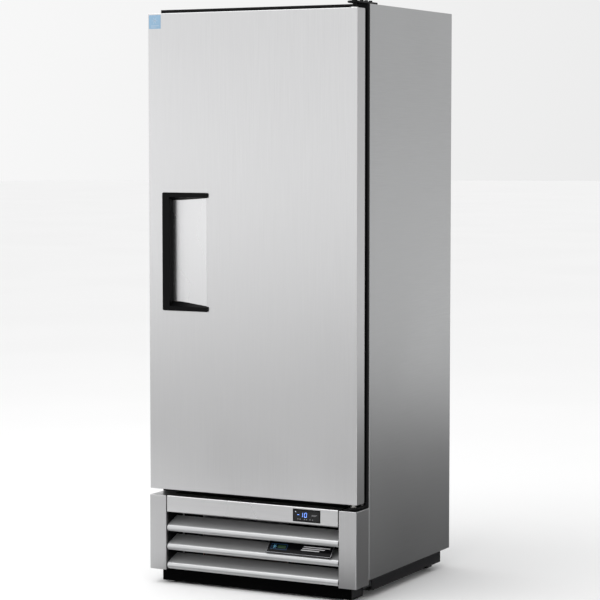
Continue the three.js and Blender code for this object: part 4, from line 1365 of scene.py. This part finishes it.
def drip_pan():
    """Shallow pan with a coil of warm pipe lying in it."""
    low, high = box("condensate_pan")
    lip = high.z - low.z
    rings = []
    for inset, rise in ((2.5, 0), (0, 3), (0, lip), (2, lip), (2.2, 4), (5, 2)):
        outline = rectangle(
            low.x + inset, high.x - inset, low.y + inset, high.y - inset, 12 - inset, 5)
        rings.append([(u, v, low.z + rise) for u, v in outline])
    Shape().rings(rings).finish("drip_pan", black_plastic, node="condensate_pan", crease=40)
    ends = (low.x + 24, high.x - 24)
    rows = 5
    warm = []
    for k in range(rows):
        y = low.y + 30 + k * (high.y - low.y - 60) / (rows - 1)
        warm += [(ends[k % 2], y, low.z + 10), (ends[(k + 1) % 2], y, low.z + 10)]
    wires("pan_warming_loop", [filleted(warm, 12, 5)], 2.8, copper)


def rear_guard():
    """Slotted sheet over the machine compartment, with its screws and the cord's bush."""
    low, high = box("rear_guard")
    inlet_low, inlet_high = box("cord_inlet")
    inlet = middle("cord_inlet")
    axis = (inlet.x, 0, inlet.z)
    piece = Shape().box(low, high).finish("guard_sheet", galvanised, node="rear_guard", weighted=False)
    near, far = low.y - 5, high.y + 5
    holes = Shape()
    for x in (-250, -15):
        for row in range(8):
            z = low.z + 29 + row * 17
            holes.prism(rectangle(x, x + 215, z, z + 5, 2.4), "y", near, far)
    cut(piece, holes.turned([(11, near), (11, far)], axis, "y", 32), crease=25)
    columns, rows = (low.x + 12, 0, high.x - 12), (low.z + 10, high.z - 10)
    pan_head_screws("guard_screws", [(x, high.y, z) for x in columns for z in rows], 3.6)
    profile = [
        (5, inlet_low.y), (9.8, inlet_low.y), (10.7, inlet_low.y + 1), (10.7, high.y + 0.2),
        (10.7, high.y + 2.6), (9.2, inlet_high.y), (6, inlet_high.y), (5, inlet_high.y - 1)]
    bush = Shape().turned(profile, axis, "y", 32, bore=True)
    bush.finish("cord_bush", black_plastic, node="cord_inlet", crease=40)


# ---- Build ---------------------------------------------------------------------------------
door_skin()
handle_frame()
finger_pocket()
door_label()
door_inner_face()
door_filling()
door_seal()
hinge_bushings()
for hand, side in SIDES:
    side_panel(hand, side)
roof_and_back()
breaker_frame()
cabin_liner()
floor_tray()
hidden_fill()
base_rails()
crossmembers()
levelling_feet()
grille_posts()
grille_header()
louvers()
grille_cheeks()
air_baffle()
controller_front()
badge()
hinge_brackets()
pilasters()
shelf_clips()
wire_shelves()
ceiling_lamp()
fin_pack("evaporator_coil", spacing=5, tube_rows=4, side_plate=15)
evaporator_case()
fan_wheel("evaporator_fan")
fan_wheel("condenser_fan")
fan_motor("evaporator_motor", "evaporator_fan", foot_up=True)
fan_motor("condenser_motor", "condenser_fan", foot_up=False)
fin_pack("condenser_coil", spacing=3.6, tube_rows=6, side_plate=12)
pipes(*compressor())
base_tray()
shroud()
drip_pan()
rear_guard()


# ---- Stage, in metres ----------------------------------------------------------------------
def studio():
    """Pale floor, soft lights and an even, softly graded surround."""
    mesh = bmesh.new()
    bmesh.ops.create_circle(mesh, cap_ends=True, segments=64, radius=60)
    floor = mesh_object("floor", mesh)
    paint = Finish("floor_paint", None, (0.93, 0.93, 0.93), 0.8, Specular_IOR_Level=0.0)
    paint.tint(paint.noise(even(0.7)), (0.91, 0.91, 0.91), 0.6)
    floor.data.materials.append(paint.material)

    world = bpy.data.worlds.new("surround")
    bpy.context.scene.world = world
    world.use_nodes = True
    tree = world.node_tree
    place = tree.nodes.new("ShaderNodeTexCoord")

    def graded(direction, low, high):
        """A grey that goes from low behind a direction to high in front of it."""
        along = tree.nodes.new("ShaderNodeVectorMath")
        along.operation = "DOT_PRODUCT"
        tree.links.new(place.outputs["Generated"], along.inputs[0])
        along.inputs[1].default_value = direction
        ranged = tree.nodes.new("ShaderNodeMapRange")
        tree.links.new(along.outputs["Value"], ranged.inputs["Value"])
        for socket, number in (("From Min", -1.0), ("From Max", 1.0), ("To Min", low), ("To Max", high)):
            ranged.inputs[socket].default_value = number
        return ranged.outputs["Result"]

    product = tree.nodes.new("ShaderNodeMath")
    product.operation = "MULTIPLY"
    tree.links.new(graded((-0.85, -0.53, 0.0), 0.60, 1.22), product.inputs[0])
    tree.links.new(graded((0.0, 0.0, 1.0), 0.9, 1.1), product.inputs[1])
    background = tree.nodes["Background"]
    tree.links.new(product.outputs["Value"], background.inputs["Color"])
    background.inputs["Strength"].default_value = 1.0

    softbox("overhead", (-1.2, -1.6, 4.2), (3.4, 2.6), 60)
    softbox("low", (-3.3, -6.4, 0.75), (4.0, 1.2), 7)
    softbox("left", (-5.2, -4.4, 0.8), (3.0, 1.6), 14)
    behind = [(0.34, -0.28), (4.0, -0.1), (4.4, 3.2), (-0.5, 3.5), (0.1, 1.0), (0.34, 0.34)]
    floor_card("back_card", 0.11, behind)
    floor_card("near_card", 0.05, [(0.31, -0.32), (0.31, -0.66), (-0.36, -0.66), (-0.36, -0.32)])
    floor_card("front_card", 0.28, [(0.6, -1.55), (0.4, -5.4), (-4.9, -5.2), (-4.6, -1.55)])


def softbox(name, place, size, power):
    """An area light that faces the middle of the cabinet."""
    light = bpy.data.lights.new(name, "AREA")
    light.shape = "RECTANGLE"
    light.size, light.size_y = size
    light.energy = power
    lamp = add_to_scene(name, light)
    lamp.visible_camera = False
    lamp.location = place
    lamp.rotation_euler = (Vector((0, 0, 0.9)) - Vector(place)).to_track_quat("-Z", "Y").to_euler()


def floor_card(name, grey, corners):
    """A card lying on the floor that only reflections see; it darkens what the lower panels mirror."""
    mesh = bmesh.new()
    mesh.faces.new([mesh.verts.new((x, y, 0.002)) for x, y in corners])
    card = mesh_object(name, mesh)
    cloth = Finish(f"{name}_cloth", None, even(grey), 0.9)
    cloth.tint(cloth.noise(even(0.7)), even(grey * 0.9), 0.6)
    card.data.materials.append(cloth.material)
    card.visible_camera = False
    card.visible_diffuse = False
    card.visible_shadow = False


def main_camera():
    lens = bpy.data.cameras.new("camera")
    lens.sensor_width = 36
    lens.lens = 129.45
    camera = add_to_scene("camera", lens)
    camera.location = (2.778, -5.311, 1.214)
    camera.rotation_euler = (math.radians(90 - 4.226), 0, math.radians(27.68))
    bpy.context.scene.camera = camera


studio()
main_camera()
bpy.context.scene.view_settings.view_transform = "Standard"
